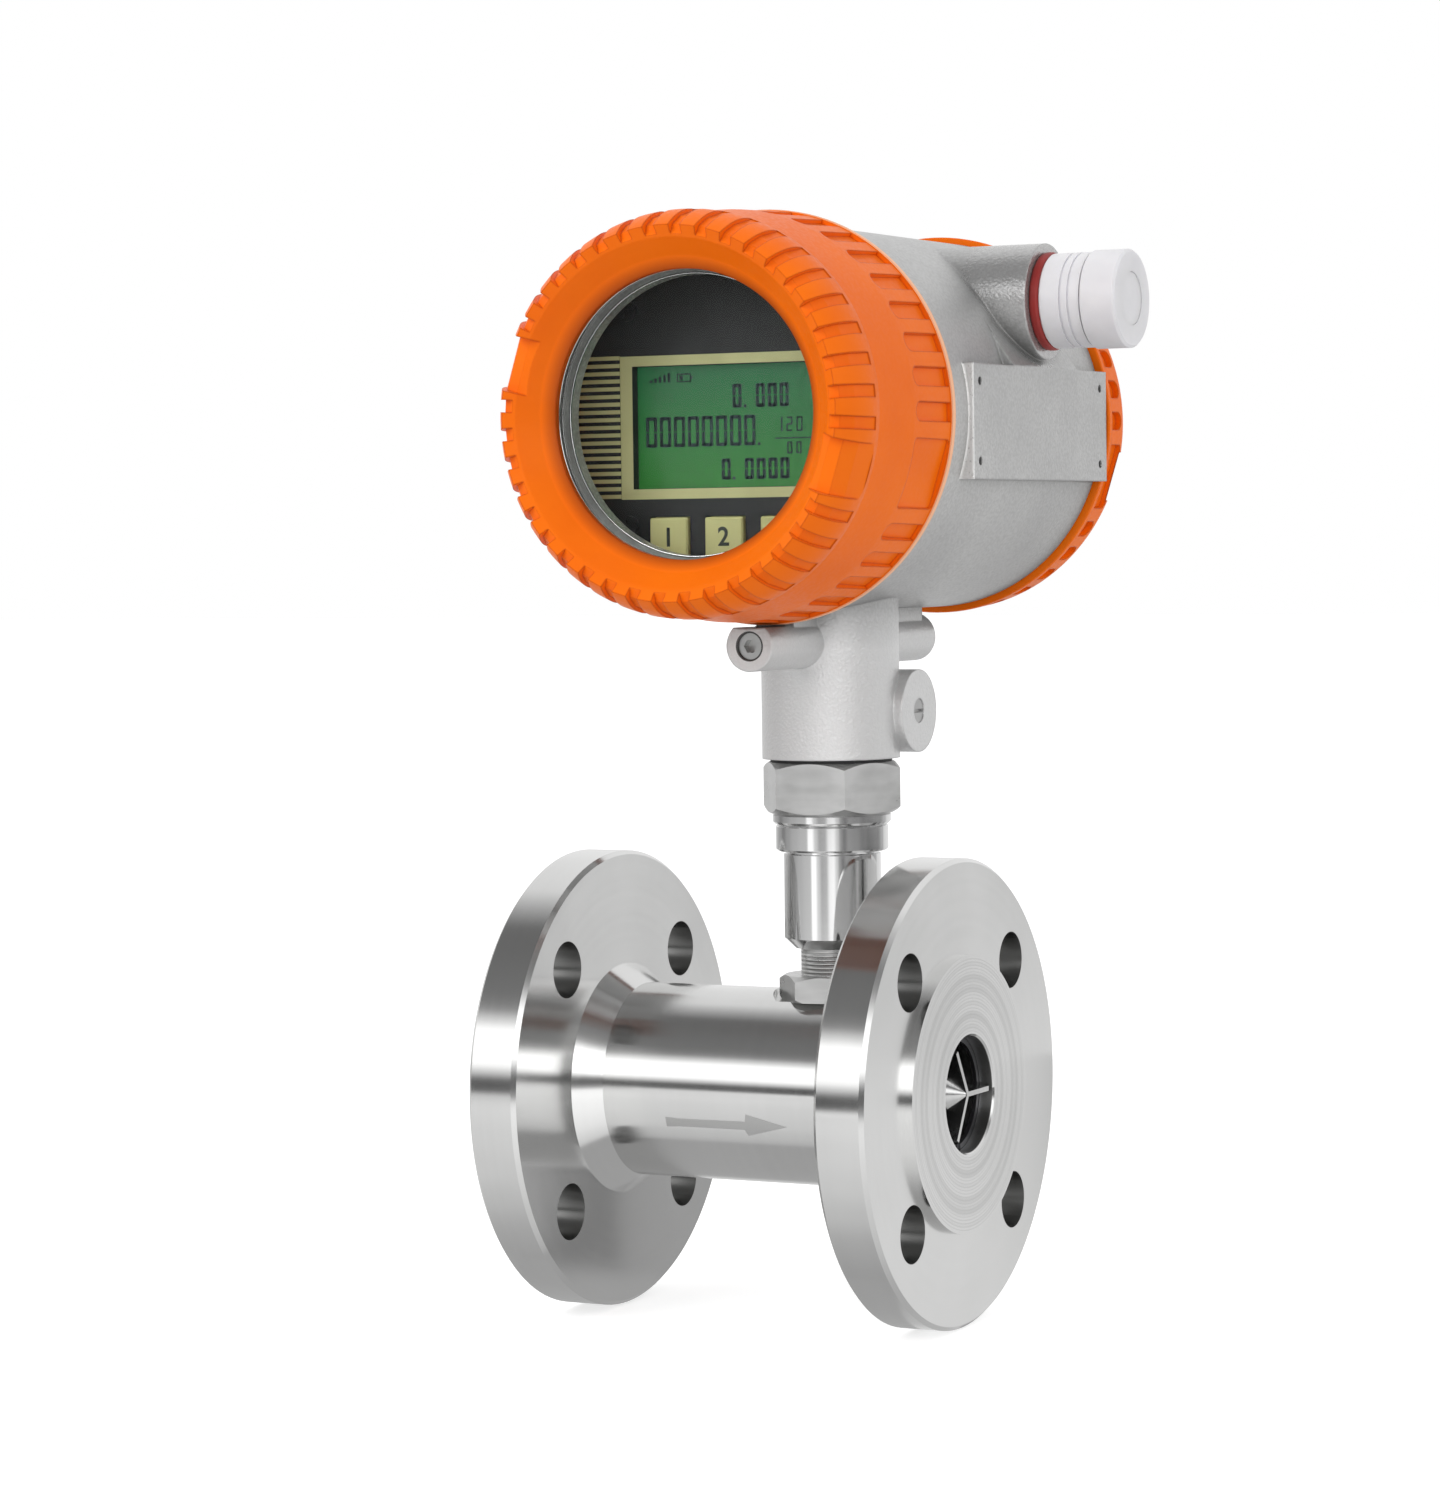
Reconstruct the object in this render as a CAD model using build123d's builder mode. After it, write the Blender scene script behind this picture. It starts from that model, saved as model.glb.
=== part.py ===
from build123d import *
import os

os.makedirs("parts", exist_ok=True)

# Flow body, DN25, flange face to flange face along X, origin on the inlet face
length = 110.0
flange_r = 57.5
flange_t = 13.0
face_r = 34.0
face_t = 2.0
bolt_circle_r = 42.5
bolt_hole_r = 7.0
hub_r = 29.0
hub_length = 6.3
barrel_r = 24.25
bore_r = 12.5
mouth_r = 14.25
inlet_step = 60.0
outlet_step = 86.0
ring_groove_r = 15.2
ring_width = 1.2
inlet_ring_x = 12.0
outlet_ring_x = 105.0

# Rotor and its guides
guide_hub_r = 4.5
vane_r = 14.22
vane_t = 1.2
vane_count = 3
nose_vane_r = 12.5
nose_high = 109.4
rotor_x = 65.0
rotor_length = 17.0
rotor_hub_r = 4.8
blade_r = 12.0
blade_t = 0.9
blade_count = 6
blade_twist = 55.0
shaft_r = 1.5
bush_r = 3.0
shaft_play = 0.04
inlet_bush_x = 58.0
outlet_bush_x = 83.0
bush_length = 6.0

# Pickup stack, upright at head_x
head_x = 73.5
stem_r = 8.0
stem_low = 15.8
stem_high = 46.0
flat_z = 22.0
locknut_high = 28.3
tube_r = 12.0
tube_low = 35.0
collar_low = 59.0
collar_high = 65.6
collar_r = 13.9
spigot_r = 10.0
spigot_high = 100.0
washer_r = 14.6
nut_low = 68.3
nut_high = 80.9
nut_flats = 31.0
neck_low = 81.7
thread_play = 0.05
coil_low = 17.3
coil_high = 39.2

# Head, its axis along Y at head_z, F is the distance forward of the pickup axis
head_z = 164.5
shell_r = 46.8
shell_front = 32.6
shell_rear = -64.0
neck_r = 44.5
neck_front = 49.0
neck_rear = -73.0
cavity_r = 40.8
wall_front = -8.0
wall_rear = -13.0
pipe_neck_r = 17.0
neck_disc_y = 10.0
neck_disc_z = -71.5
neck_disc_r = 10.2
neck_disc_face = 19.4
cover_bore_r = 44.56
front_low = 33.0
front_high = 85.2
rear_low = -64.4
rear_seat = -75.0
rear_face = -78.4
rear_high = -80.2
rim_r = 49.4
rear_rim_r = 48.4
rim_t = 2.0
pocket_front = 53.0
pocket_front_r = 46.9
pocket_rear = 35.3
pocket_rear_r = 48.0
rear_pocket_r = 46.2
pocket_width = 4.5
wide_pocket_width = 16.8
grip_angle = -17.3
pockets_a_side = 16
first_pocket = 17.4
pocket_pitch = 9.68
slots_a_side = 18
first_slot = 13.5
slot_pitch = 9.0
slot_width = 2.9
wrench_slot_width = 13.0
window_r = 33.4
window_seat = 75.0
gasket_t = 0.6
glass_r = 39.5
glass_t = 4.8
window_ring_t = 3.4
panel_front = 54.5
panel_t = 2.5
panel_r = 40.5
board_t = 1.6
display_board_f = 46.0
main_board_f = 14.0
key_size = 10.0
key_pitch = 14.6
key_z = -28.5
key_back = 50.6
key_t = 5.2
key_flange_t = 1.1
display_w = 48.6
display_h = 28.8
display_z = -2.2
display_back = 49.3
pillar_spots = [(25.5, 25.5), (-25.5, 25.5), (-25.5, -25.5), (25.5, -25.5)]

# Conduit boss on the right of the head and the cable gland in it
conduit_y = 24.3
conduit_z = 28.4
conduit_r = 14.2
conduit_face = 48.5
gland_thread_r = 8.3
gland_r = 12.0
seal_t = 2.4
insert_r = 6.5
cap_thread_r = 9.5
cap_low = 61.8
cap_lip = 69.2
cap_high = 70.8
side_x = 48.0
side_low = -15.3
side_high = 12.3
lock_z = -54.2
lock_r = 6.1
lock_front = 44.0
lock_rear = -49.6
lock_screw_r = 3.15
pad_f = 20.0

# Working planes and axes
across = Plane.YZ
stack = Plane(origin=(head_x, 0, 0), x_dir=(1, 0, 0), z_dir=(0, -1, 0))
stack_axis = Axis((head_x, 0, 0), (0, 0, 1))
head = Plane(origin=(head_x, 0, head_z), x_dir=(1, 0, 0), z_dir=(0, -1, 0))
head_half = Plane(origin=(head_x, 0, head_z), x_dir=(1, 0, 0), z_dir=(0, 0, -1))
head_axis = Axis((head_x, 0, head_z), (0, -1, 0))
right = Plane(origin=(head_x, conduit_y, head_z + conduit_z), x_dir=(0, 1, 0), z_dir=(1, 0, 0))
gland_half = Plane(origin=(head_x, conduit_y, head_z + conduit_z), x_dir=(1, 0, 0), z_dir=(0, -1, 0))
gland_axis = Axis((head_x, conduit_y, head_z + conduit_z), (1, 0, 0))

# Flow body, turned from one bar with two flanges
with BuildPart() as meter_body:
    with BuildSketch(Plane.XY):
        with BuildLine():
            Polyline(
                (0, mouth_r + 0.5),
                (0, face_r),
                (face_t, face_r),
                (face_t, flange_r - 1.0),
                (face_t + 1.0, flange_r),
                (face_t + flange_t - 1.0, flange_r),
                (face_t + flange_t, flange_r - 1.0),
                (face_t + flange_t, hub_r),
                (face_t + flange_t + hub_length, barrel_r),
                (length - face_t - flange_t - hub_length, barrel_r),
                (length - face_t - flange_t, hub_r),
                (length - face_t - flange_t, flange_r - 1.0),
                (length - face_t - flange_t + 1.0, flange_r),
                (length - face_t - 1.0, flange_r),
                (length - face_t, flange_r - 1.0),
                (length - face_t, face_r),
                (length, face_r),
                (length, mouth_r + 0.5),
                (length - 0.5, mouth_r),
                (outlet_step, mouth_r),
                (outlet_step, bore_r),
                (inlet_step, bore_r),
                (inlet_step, mouth_r),
                (0.5, mouth_r),
                close=True,
            )
        make_face()
    revolve(axis=Axis.X)
    with BuildSketch(across):
        with PolarLocations(bolt_circle_r, 4, start_angle=45):
            Circle(bolt_hole_r)
    extrude(amount=length, mode=Mode.SUBTRACT)
    for ring_x in (inlet_ring_x, outlet_ring_x):
        with BuildSketch(across.offset(ring_x)):
            Circle(ring_groove_r)
        extrude(amount=ring_width, mode=Mode.SUBTRACT)
    with BuildSketch(Plane.XY.offset(flat_z)):
        with Locations((head_x, 0)):
            Circle(15.0)
    extrude(amount=5.0, mode=Mode.SUBTRACT)
    with BuildSketch(Plane.XY.offset(stem_low - 0.2)):
        with Locations((head_x, 0)):
            Circle(stem_r + thread_play)
    extrude(amount=12.0, mode=Mode.SUBTRACT)
meter_body.part.label = "meter_body"
export_step(meter_body.part, "parts/meter_body.step")

# Inlet straightener, a pointed hub held by three vanes in a sleeve
with BuildPart() as inlet_guide:
    with BuildSketch(Plane.XY):
        with BuildLine():
            Spline((16.0, 0), (19.0, 2.9), (26.0, guide_hub_r), tangents=[(0, 1), (1, 0)])
            Polyline(
                (26.0, guide_hub_r),
                (inlet_bush_x + bush_length, guide_hub_r),
                (inlet_bush_x + bush_length, bush_r),
                (inlet_bush_x, bush_r),
                (inlet_bush_x, 0),
                (16.0, 0),
            )
        make_face()
    revolve(axis=Axis.X)
    with BuildSketch(across.offset(20.0)):
        with PolarLocations(9.0, vane_count):
            Rectangle(vane_r * 2 - 18.0, vane_t)
    extrude(amount=inlet_step - 20.0)
    with BuildSketch(across.offset(14.0)):
        Circle(vane_r)
        Circle(vane_r - 1.2, mode=Mode.SUBTRACT)
    extrude(amount=inlet_step - 14.0)
inlet_guide.part.label = "inlet_guide"
export_step(inlet_guide.part, "parts/inlet_guide.step")

# Outlet straightener, seen in the mouth of the outlet flange
with BuildPart() as outlet_guide:
    with BuildSketch(Plane.XY):
        with BuildLine():
            Polyline(
                (outlet_bush_x, bush_r),
                (outlet_bush_x, guide_hub_r),
                (outlet_ring_x, guide_hub_r),
                (nose_high - 0.2, 1.0),
                (nose_high - 0.2, 0),
                (outlet_bush_x + bush_length + 1.0, 0),
                (outlet_bush_x + bush_length + 1.0, bush_r),
                close=True,
            )
        make_face()
    revolve(axis=Axis.X)
    with BuildSketch(across.offset(outlet_step)):
        with PolarLocations(9.0, vane_count):
            Rectangle(vane_r * 2 - 18.0, vane_t)
    extrude(amount=outlet_ring_x - outlet_step - 1.0)
    with BuildSketch(across.offset(outlet_ring_x - 1.0)):
        with PolarLocations(nose_vane_r / 2, vane_count):
            Rectangle(nose_vane_r, vane_t)
    extrude(amount=nose_high - outlet_ring_x + 1.0)
    with BuildSketch(across.offset(outlet_step)):
        Circle(vane_r)
        Circle(vane_r - 1.2, mode=Mode.SUBTRACT)
    extrude(amount=outlet_ring_x - outlet_step)
outlet_guide.part.label = "outlet_guide"
export_step(outlet_guide.part, "parts/outlet_guide.step")

# Split spring rings that hold the two guides in the bore
with BuildPart() as inlet_ring:
    with BuildSketch(across.offset(inlet_ring_x + 0.1)):
        Circle(ring_groove_r - 0.1)
        Circle(mouth_r - 1.4, mode=Mode.SUBTRACT)
        with Locations((0, -14.0)):
            Rectangle(5.0, 6.0, mode=Mode.SUBTRACT)
    extrude(amount=ring_width - 0.2)
inlet_ring.part.label = "inlet_ring"
export_step(inlet_ring.part, "parts/inlet_ring.step")

with BuildPart() as outlet_ring:
    with BuildSketch(across.offset(outlet_ring_x + 0.1)):
        Circle(ring_groove_r - 0.1)
        Circle(mouth_r - 1.4, mode=Mode.SUBTRACT)
        with Locations((0, -14.0)):
            Rectangle(5.0, 6.0, mode=Mode.SUBTRACT)
    extrude(amount=ring_width - 0.2)
outlet_ring.part.label = "outlet_ring"
export_step(outlet_ring.part, "parts/outlet_ring.step")

# Bushes pressed into the guide hubs
with BuildPart() as inlet_bush:
    with BuildSketch(across.offset(inlet_bush_x)):
        Circle(bush_r)
        Circle(shaft_r + shaft_play, mode=Mode.SUBTRACT)
    extrude(amount=bush_length)
inlet_bush.part.label = "inlet_bush"
export_step(inlet_bush.part, "parts/inlet_bush.step")

with BuildPart() as outlet_bush:
    with BuildSketch(across.offset(outlet_bush_x)):
        Circle(bush_r)
        Circle(shaft_r + shaft_play, mode=Mode.SUBTRACT)
    extrude(amount=bush_length)
outlet_bush.part.label = "outlet_bush"
export_step(outlet_bush.part, "parts/outlet_bush.step")

# One rotor blade, a thin bar twisted as it runs along the hub
with BuildSketch(across.offset(rotor_x + 1.0)) as blade_end:
    with Locations(((blade_r + rotor_hub_r - 1.0) / 2, 0)):
        Rectangle(blade_r - rotor_hub_r + 1.0, blade_t)
blade = Solid.extrude_linear_with_rotation(
    blade_end.sketch.face(), (rotor_x + 1.0, 0, 0), (rotor_length - 2.0, 0, 0), blade_twist
)

# Rotor with helical blades, the piece that the flow turns
with BuildPart() as rotor:
    with BuildSketch(across.offset(rotor_x)):
        Circle(rotor_hub_r)
        Circle(shaft_r, mode=Mode.SUBTRACT)
    extrude(amount=rotor_length)
    for number in range(blade_count):
        add(blade.rotate(Axis.X, 360.0 * number / blade_count))
    with BuildSketch(across.offset(rotor_x)):
        Circle(shaft_r)
    extrude(amount=rotor_length, mode=Mode.SUBTRACT)
rotor.part.label = "rotor"
export_step(rotor.part, "parts/rotor.step")

with BuildPart() as rotor_shaft:
    with BuildSketch(across.offset(inlet_bush_x + 0.3)):
        Circle(shaft_r)
    extrude(amount=outlet_bush_x + bush_length - inlet_bush_x - 0.6)
    chamfer(rotor_shaft.edges(), 0.3)
rotor_shaft.part.label = "rotor_shaft"
export_step(rotor_shaft.part, "parts/rotor_shaft.step")

# Pickup stem, a threaded tube screwed into the body
with BuildPart() as pickup_stem:
    with BuildSketch(Plane.XY.offset(stem_low)):
        with Locations((head_x, 0)):
            Circle(stem_r)
            Circle(5.6, mode=Mode.SUBTRACT)
    extrude(amount=stem_high - stem_low)
    with BuildSketch(Plane.XY.offset(stem_low)):
        with Locations((head_x, 0)):
            Circle(stem_r)
    extrude(amount=1.5)
    chamfer(pickup_stem.faces().sort_by(Axis.Z)[0].edges(), 0.8)
pickup_stem.part.label = "pickup_stem"
export_step(pickup_stem.part, "parts/pickup_stem.step")

with BuildPart() as pickup_locknut:
    with BuildSketch(Plane.XY.offset(flat_z)):
        with Locations((head_x, 0)):
            RegularPolygon(12.0, 6, major_radius=False, rotation=12)
    extrude(amount=locknut_high - flat_z)
    with BuildSketch(stack):
        with BuildLine():
            Polyline(
                (0, flat_z),
                (13.0, flat_z),
                (13.9, flat_z + 0.9),
                (13.9, locknut_high - 1.3),
                (12.0, locknut_high),
                (0, locknut_high),
                close=True,
            )
        make_face()
    revolve(axis=stack_axis, mode=Mode.INTERSECT)
    with BuildSketch(Plane.XY.offset(flat_z)):
        with Locations((head_x, 0)):
            Circle(stem_r + thread_play)
    extrude(amount=7.0, mode=Mode.SUBTRACT)
pickup_locknut.part.label = "pickup_locknut"
export_step(pickup_locknut.part, "parts/pickup_locknut.step")

# Sensing magnet and coil inside the stem, right above the rotor
with BuildPart() as pickup_magnet:
    with BuildSketch(Plane.XY.offset(coil_low)):
        with Locations((head_x, 0)):
            Circle(1.5)
    extrude(amount=24.0)
pickup_magnet.part.label = "pickup_magnet"
export_step(pickup_magnet.part, "parts/pickup_magnet.step")

with BuildPart() as pickup_coil:
    with BuildSketch(stack):
        with BuildLine():
            Polyline(
                (1.5, coil_low),
                (5.6, coil_low),
                (5.6, coil_low + 1.2),
                (4.6, coil_low + 1.2),
                (4.6, coil_high - 1.2),
                (5.6, coil_high - 1.2),
                (5.6, coil_high),
                (1.5, coil_high),
                close=True,
            )
        make_face()
    revolve(axis=stack_axis)
pickup_coil.part.label = "pickup_coil"
export_step(pickup_coil.part, "parts/pickup_coil.step")

# Pickup tube, the polished cylinder with its collar and the threaded spigot that carries the head
with BuildPart() as pickup_tube:
    with BuildSketch(stack):
        with BuildLine():
            Polyline(
                (stem_r + thread_play, tube_low),
                (9.5, tube_low),
                (tube_r, tube_low + 2.5),
                (tube_r, collar_low - 0.8),
                (tube_r - 0.6, collar_low - 0.6),
                (tube_r - 0.6, collar_low),
                (collar_r - 0.5, collar_low),
                (collar_r, collar_low + 0.5),
                (collar_r, collar_high - 0.6),
                (collar_r - 0.6, collar_high),
                (spigot_r, collar_high),
                (spigot_r, spigot_high - 1.0),
                (spigot_r - 1.0, spigot_high),
                (6.0, spigot_high),
                (6.0, stem_high + 0.4),
                (stem_r + thread_play, stem_high + 0.4),
                close=True,
            )
        make_face()
    revolve(axis=stack_axis)
pickup_tube.part.label = "pickup_tube"
export_step(pickup_tube.part, "parts/pickup_tube.step")

with BuildPart() as collar_washer:
    with BuildSketch(stack):
        with BuildLine():
            Polyline(
                (spigot_r + thread_play, collar_high),
                (washer_r - 0.6, collar_high),
                (washer_r, collar_high + 0.6),
                (washer_r, nut_low - 0.5),
                (washer_r - 0.5, nut_low),
                (spigot_r + thread_play, nut_low),
                close=True,
            )
        make_face()
    revolve(axis=stack_axis)
collar_washer.part.label = "collar_washer"
export_step(collar_washer.part, "parts/collar_washer.step")

# Large hexagon nut that clamps the head on the spigot
with BuildPart() as coupling_nut:
    with BuildSketch(Plane.XY.offset(nut_low)):
        with Locations((head_x, 0)):
            RegularPolygon(nut_flats / 2, 6, major_radius=False, rotation=6)
    extrude(amount=nut_high - nut_low)
    with BuildSketch(stack):
        with BuildLine():
            Polyline(
                (0, nut_low),
                (15.2, nut_low),
                (17.9, nut_low + 1.6),
                (17.9, nut_high - 1.6),
                (15.4, nut_high),
                (0, nut_high),
                close=True,
            )
        make_face()
    revolve(axis=stack_axis, mode=Mode.INTERSECT)
    with BuildSketch(Plane.XY.offset(nut_low)):
        with Locations((head_x, 0)):
            Circle(spigot_r + thread_play)
    extrude(amount=nut_high - nut_low, mode=Mode.SUBTRACT)
coupling_nut.part.label = "coupling_nut"
export_step(coupling_nut.part, "parts/coupling_nut.step")

with BuildPart() as neck_gasket:
    with BuildSketch(Plane.XY.offset(nut_high)):
        with Locations((head_x, 0)):
            Circle(15.0)
            Circle(spigot_r + thread_play, mode=Mode.SUBTRACT)
    extrude(amount=neck_low - nut_high)
neck_gasket.part.label = "neck_gasket"
export_step(neck_gasket.part, "parts/neck_gasket.step")

# Cast housing: drum, neck, conduit boss, side pads and the two lock bosses
with BuildPart() as housing:
    with BuildSketch(head_half):
        with BuildLine():
            Polyline(
                (0, neck_rear),
                (neck_r, neck_rear),
                (neck_r, shell_rear - 2.4),
                (neck_r - 2.2, shell_rear - 2.4),
                (neck_r - 2.2, shell_rear),
                (shell_r - 0.8, shell_rear),
                (shell_r, shell_rear + 0.8),
                (shell_r, shell_front - 0.8),
                (shell_r - 0.8, shell_front),
                (neck_r - 2.2, shell_front),
                (neck_r - 2.2, shell_front + 2.4),
                (neck_r, shell_front + 2.4),
                (neck_r, neck_front),
                (0, neck_front),
                close=True,
            )
        make_face()
    revolve(axis=head_axis)
    with BuildSketch(head.offset(shell_rear + 0.8)):
        with Locations((0, (side_high + side_low) / 2)):
            Rectangle(side_x * 2, side_high - side_low)
    extrude(amount=pad_f - shell_rear - 0.8)
    with BuildSketch(head.offset(-conduit_y - 20.0)):
        with BuildLine():
            Polyline(
                (0, 0),
                (side_x, side_high - 1.0),
                (side_x, side_high),
                (36.9, 28.8),
                (0, 30.0),
                close=True,
            )
        make_face()
    extrude(amount=40.0)
    with BuildSketch(right.offset(10.0)):
        Circle(conduit_r)
    extrude(amount=conduit_face - 10.0)
    with BuildSketch(Plane.XY.offset(neck_low)):
        with Locations((head_x, 0)):
            Circle(pipe_neck_r)
    extrude(amount=45.0)
    with BuildSketch(Plane.YZ.offset(head_x)):
        with Locations((neck_disc_y, head_z + neck_disc_z)):
            Circle(neck_disc_r)
    extrude(amount=neck_disc_face)
    for start, run in ((3.0, lock_front - 3.0), (lock_rear, -3.0 - lock_rear)):
        with BuildSketch(head.offset(start)):
            with Locations((0, lock_z)):
                Circle(lock_r)
        extrude(amount=run)
    with BuildSketch(head.offset(lock_rear + 4.6)):
        with Locations((0, -47.0)):
            Rectangle(9.0, 16.0)
    extrude(amount=74.0)
    with BuildSketch(head_half):
        with Locations((47.5, 41.8)):
            Rectangle(4.8, 18.4)
    revolve(axis=head_axis, mode=Mode.SUBTRACT)
    for start, run in ((wall_front, neck_front - wall_front), (neck_rear, wall_rear - neck_rear)):
        with BuildSketch(head.offset(start)):
            Circle(cavity_r)
        extrude(amount=run, mode=Mode.SUBTRACT)
    with BuildSketch(head.offset(wall_rear)):
        with Locations((0, 24.0)):
            Circle(5.0)
    extrude(amount=wall_front - wall_rear, mode=Mode.SUBTRACT)
    with BuildSketch(Plane.XY.offset(neck_low)):
        with Locations((head_x, 0)):
            Circle(spigot_r + thread_play)
    extrude(amount=spigot_high + 0.6 - neck_low, mode=Mode.SUBTRACT)
    with BuildSketch(Plane.XY.offset(neck_low)):
        with Locations((head_x, 0)):
            Circle(6.5)
    extrude(amount=50.0, mode=Mode.SUBTRACT)
    with BuildSketch(right.offset(20.0)):
        Circle(gland_thread_r + thread_play)
    extrude(amount=40.0, mode=Mode.SUBTRACT)
    with BuildSketch(Plane.YZ.offset(head_x + neck_disc_face - 9.0)):
        with Locations((neck_disc_y, head_z + neck_disc_z)):
            Circle(3.0)
    extrude(amount=10.0, mode=Mode.SUBTRACT)
    for start, run in ((lock_front - 26.0, 26.0), (lock_rear, 18.0)):
        with BuildSketch(head.offset(start)):
            with Locations((0, lock_z)):
                Circle(lock_screw_r + thread_play)
        extrude(amount=run, mode=Mode.SUBTRACT)
    for side in (1, -1):
        with BuildSketch(Plane.YZ.offset(head_x + side * side_x)):
            with Locations((21.5, head_z - 1.5)):
                with GridLocations(75.0, 19.0, 2, 2):
                    Circle(1.0)
        extrude(amount=-2.5 * side, mode=Mode.SUBTRACT)
housing.part.label = "housing"
export_step(housing.part, "parts/housing.step")

# Set screw in the side of the neck, with a driver slot
with BuildPart() as neck_screw:
    with BuildSketch(Plane.YZ.offset(head_x + neck_disc_face - 8.8)):
        with Locations((neck_disc_y, head_z + neck_disc_z)):
            Circle(2.95)
    extrude(amount=8.6)
    with BuildSketch(Plane.YZ.offset(head_x + neck_disc_face - 1.2)):
        with Locations((neck_disc_y, head_z + neck_disc_z)):
            Rectangle(7.0, 0.9)
    extrude(amount=2.0, mode=Mode.SUBTRACT)
neck_screw.part.label = "neck_screw"
export_step(neck_screw.part, "parts/neck_screw.step")

# Cover lock screws with a hexagon socket, front and rear
with BuildPart() as cover_lock_screws:
    for start, run in ((lock_front - 24.6, 24.0), (lock_rear + 0.6, 16.4)):
        with BuildSketch(head.offset(start)):
            with Locations((0, lock_z)):
                Circle(lock_screw_r)
        extrude(amount=run)
    for start, run in ((lock_front - 3.0, 2.4), (lock_rear + 0.6, 2.4)):
        with BuildSketch(head.offset(start)):
            with Locations((0, lock_z)):
                RegularPolygon(1.5, 6, major_radius=False)
        extrude(amount=run, mode=Mode.SUBTRACT)
cover_lock_screws.part.label = "cover_lock_screws"
export_step(cover_lock_screws.part, "parts/cover_lock_screws.step")

# Seal rings at the root of the two necks
with BuildPart() as front_neck_seal:
    with BuildSketch(head_half):
        with Locations((neck_r - 1.05, shell_front + 1.2)):
            Circle(1.05)
    revolve(axis=head_axis)
front_neck_seal.part.label = "front_neck_seal"
export_step(front_neck_seal.part, "parts/front_neck_seal.step")

with BuildPart() as rear_neck_seal:
    with BuildSketch(head_half):
        with Locations((neck_r - 1.05, shell_rear - 1.2)):
            Circle(1.05)
    revolve(axis=head_axis)
rear_neck_seal.part.label = "rear_neck_seal"
export_step(rear_neck_seal.part, "parts/rear_neck_seal.step")

# Cutters for the front cover: one grip pocket, one wide pocket, one rim slot and one wrench slot
pocket_floor = Plane(
    origin=(head_x + pocket_front_r, -pocket_front, head_z),
    x_dir=(pocket_rear_r - pocket_front_r, pocket_front - pocket_rear, 0),
    z_dir=(pocket_front - pocket_rear, pocket_front_r - pocket_rear_r, 0),
)
pocket_length = pocket_front - pocket_rear
with BuildPart() as front_pocket:
    with BuildSketch(pocket_floor):
        with Locations((pocket_length / 2 + pocket_width / 4, 0)):
            Rectangle(pocket_length - pocket_width / 2, pocket_width)
        with Locations((pocket_width / 2, 0)):
            Circle(pocket_width / 2)
    extrude(amount=6.0)
with BuildPart() as front_wide_pocket:
    with BuildSketch(pocket_floor.offset(-0.3)):
        with Locations((pocket_length / 2, 0)):
            RectangleRounded(pocket_length, wide_pocket_width, 1.2)
    extrude(amount=6.0)
with BuildPart() as front_slot:
    with BuildSketch(head_half):
        with BuildLine():
            Polyline(
                (40.6, 83.9),
                (43.2, 83.0),
                (45.2, 79.5),
                (46.9, 72.5),
                (53.0, 72.5),
                (53.0, 90.0),
                (40.6, 90.0),
                close=True,
            )
        make_face()
    extrude(amount=slot_width / 2, both=True)
with BuildPart() as front_wrench_slot:
    with BuildSketch(head_half):
        with BuildLine():
            Polyline(
                (30.0, 78.9),
                (40.4, 82.2),
                (43.4, 81.6),
                (45.6, 78.0),
                (46.95, 72.0),
                (53.0, 72.0),
                (53.0, 90.0),
                (30.0, 90.0),
                close=True,
            )
        make_face()
    extrude(amount=wrench_slot_width / 2, both=True)

front_cuts = []
for side in (0, 180):
    for number in range(pockets_a_side):
        angle = grip_angle + side + first_pocket + pocket_pitch * number
        front_cuts.append(front_pocket.part.rotate(head_axis, angle))
    for number in range(slots_a_side):
        angle = grip_angle + side + first_slot + slot_pitch * number
        front_cuts.append(front_slot.part.rotate(head_axis, angle))
    front_cuts.append(front_wide_pocket.part.rotate(head_axis, grip_angle + side))
    front_cuts.append(front_wrench_slot.part.rotate(head_axis, grip_angle + side))

# Front cover with the window opening, grip pockets around its skirt and slots around its rim
with BuildPart() as front_cover:
    with BuildSketch(head_half):
        with BuildLine():
            Polyline(
                (43.0, front_high),
                (40.3, 83.4),
                (36.3, 79.0),
                (window_r, 76.6),
                (window_r, window_seat),
                (glass_r + 0.5, window_seat),
                (glass_r + 0.5, 66.0),
                (42.5, 64.0),
                (42.5, 52.5),
                (cover_bore_r, 51.0),
                (cover_bore_r, front_low),
                (rim_r - 0.3, front_low),
                (rim_r, front_low + 0.3),
                (rim_r, front_low + rim_t),
                (rim_r - 0.4, front_low + rim_t + 0.2),
                (48.3, 54.0),
                (46.9, 70.0),
            )
            ThreePointArc((46.9, 70.0), (46.2, 79.5), (43.0, front_high))
        make_face()
    revolve(axis=head_axis)
    add(front_cuts, mode=Mode.SUBTRACT)
front_cover.part.label = "front_cover"
export_step(front_cover.part, "parts/front_cover.step")

# Window: soft gasket, glass and the threaded ring behind it
with BuildPart() as window_gasket:
    with BuildSketch(head.offset(window_seat - gasket_t)):
        Circle(glass_r)
        Circle(window_r + 0.9, mode=Mode.SUBTRACT)
    extrude(amount=gasket_t)
window_gasket.part.label = "window_gasket"
export_step(window_gasket.part, "parts/window_gasket.step")

with BuildPart() as window_glass:
    with BuildSketch(head.offset(window_seat - gasket_t - glass_t)):
        Circle(glass_r)
    extrude(amount=glass_t)
    chamfer(window_glass.edges(), 0.4)
window_glass.part.label = "window_glass"
export_step(window_glass.part, "parts/window_glass.step")

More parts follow.
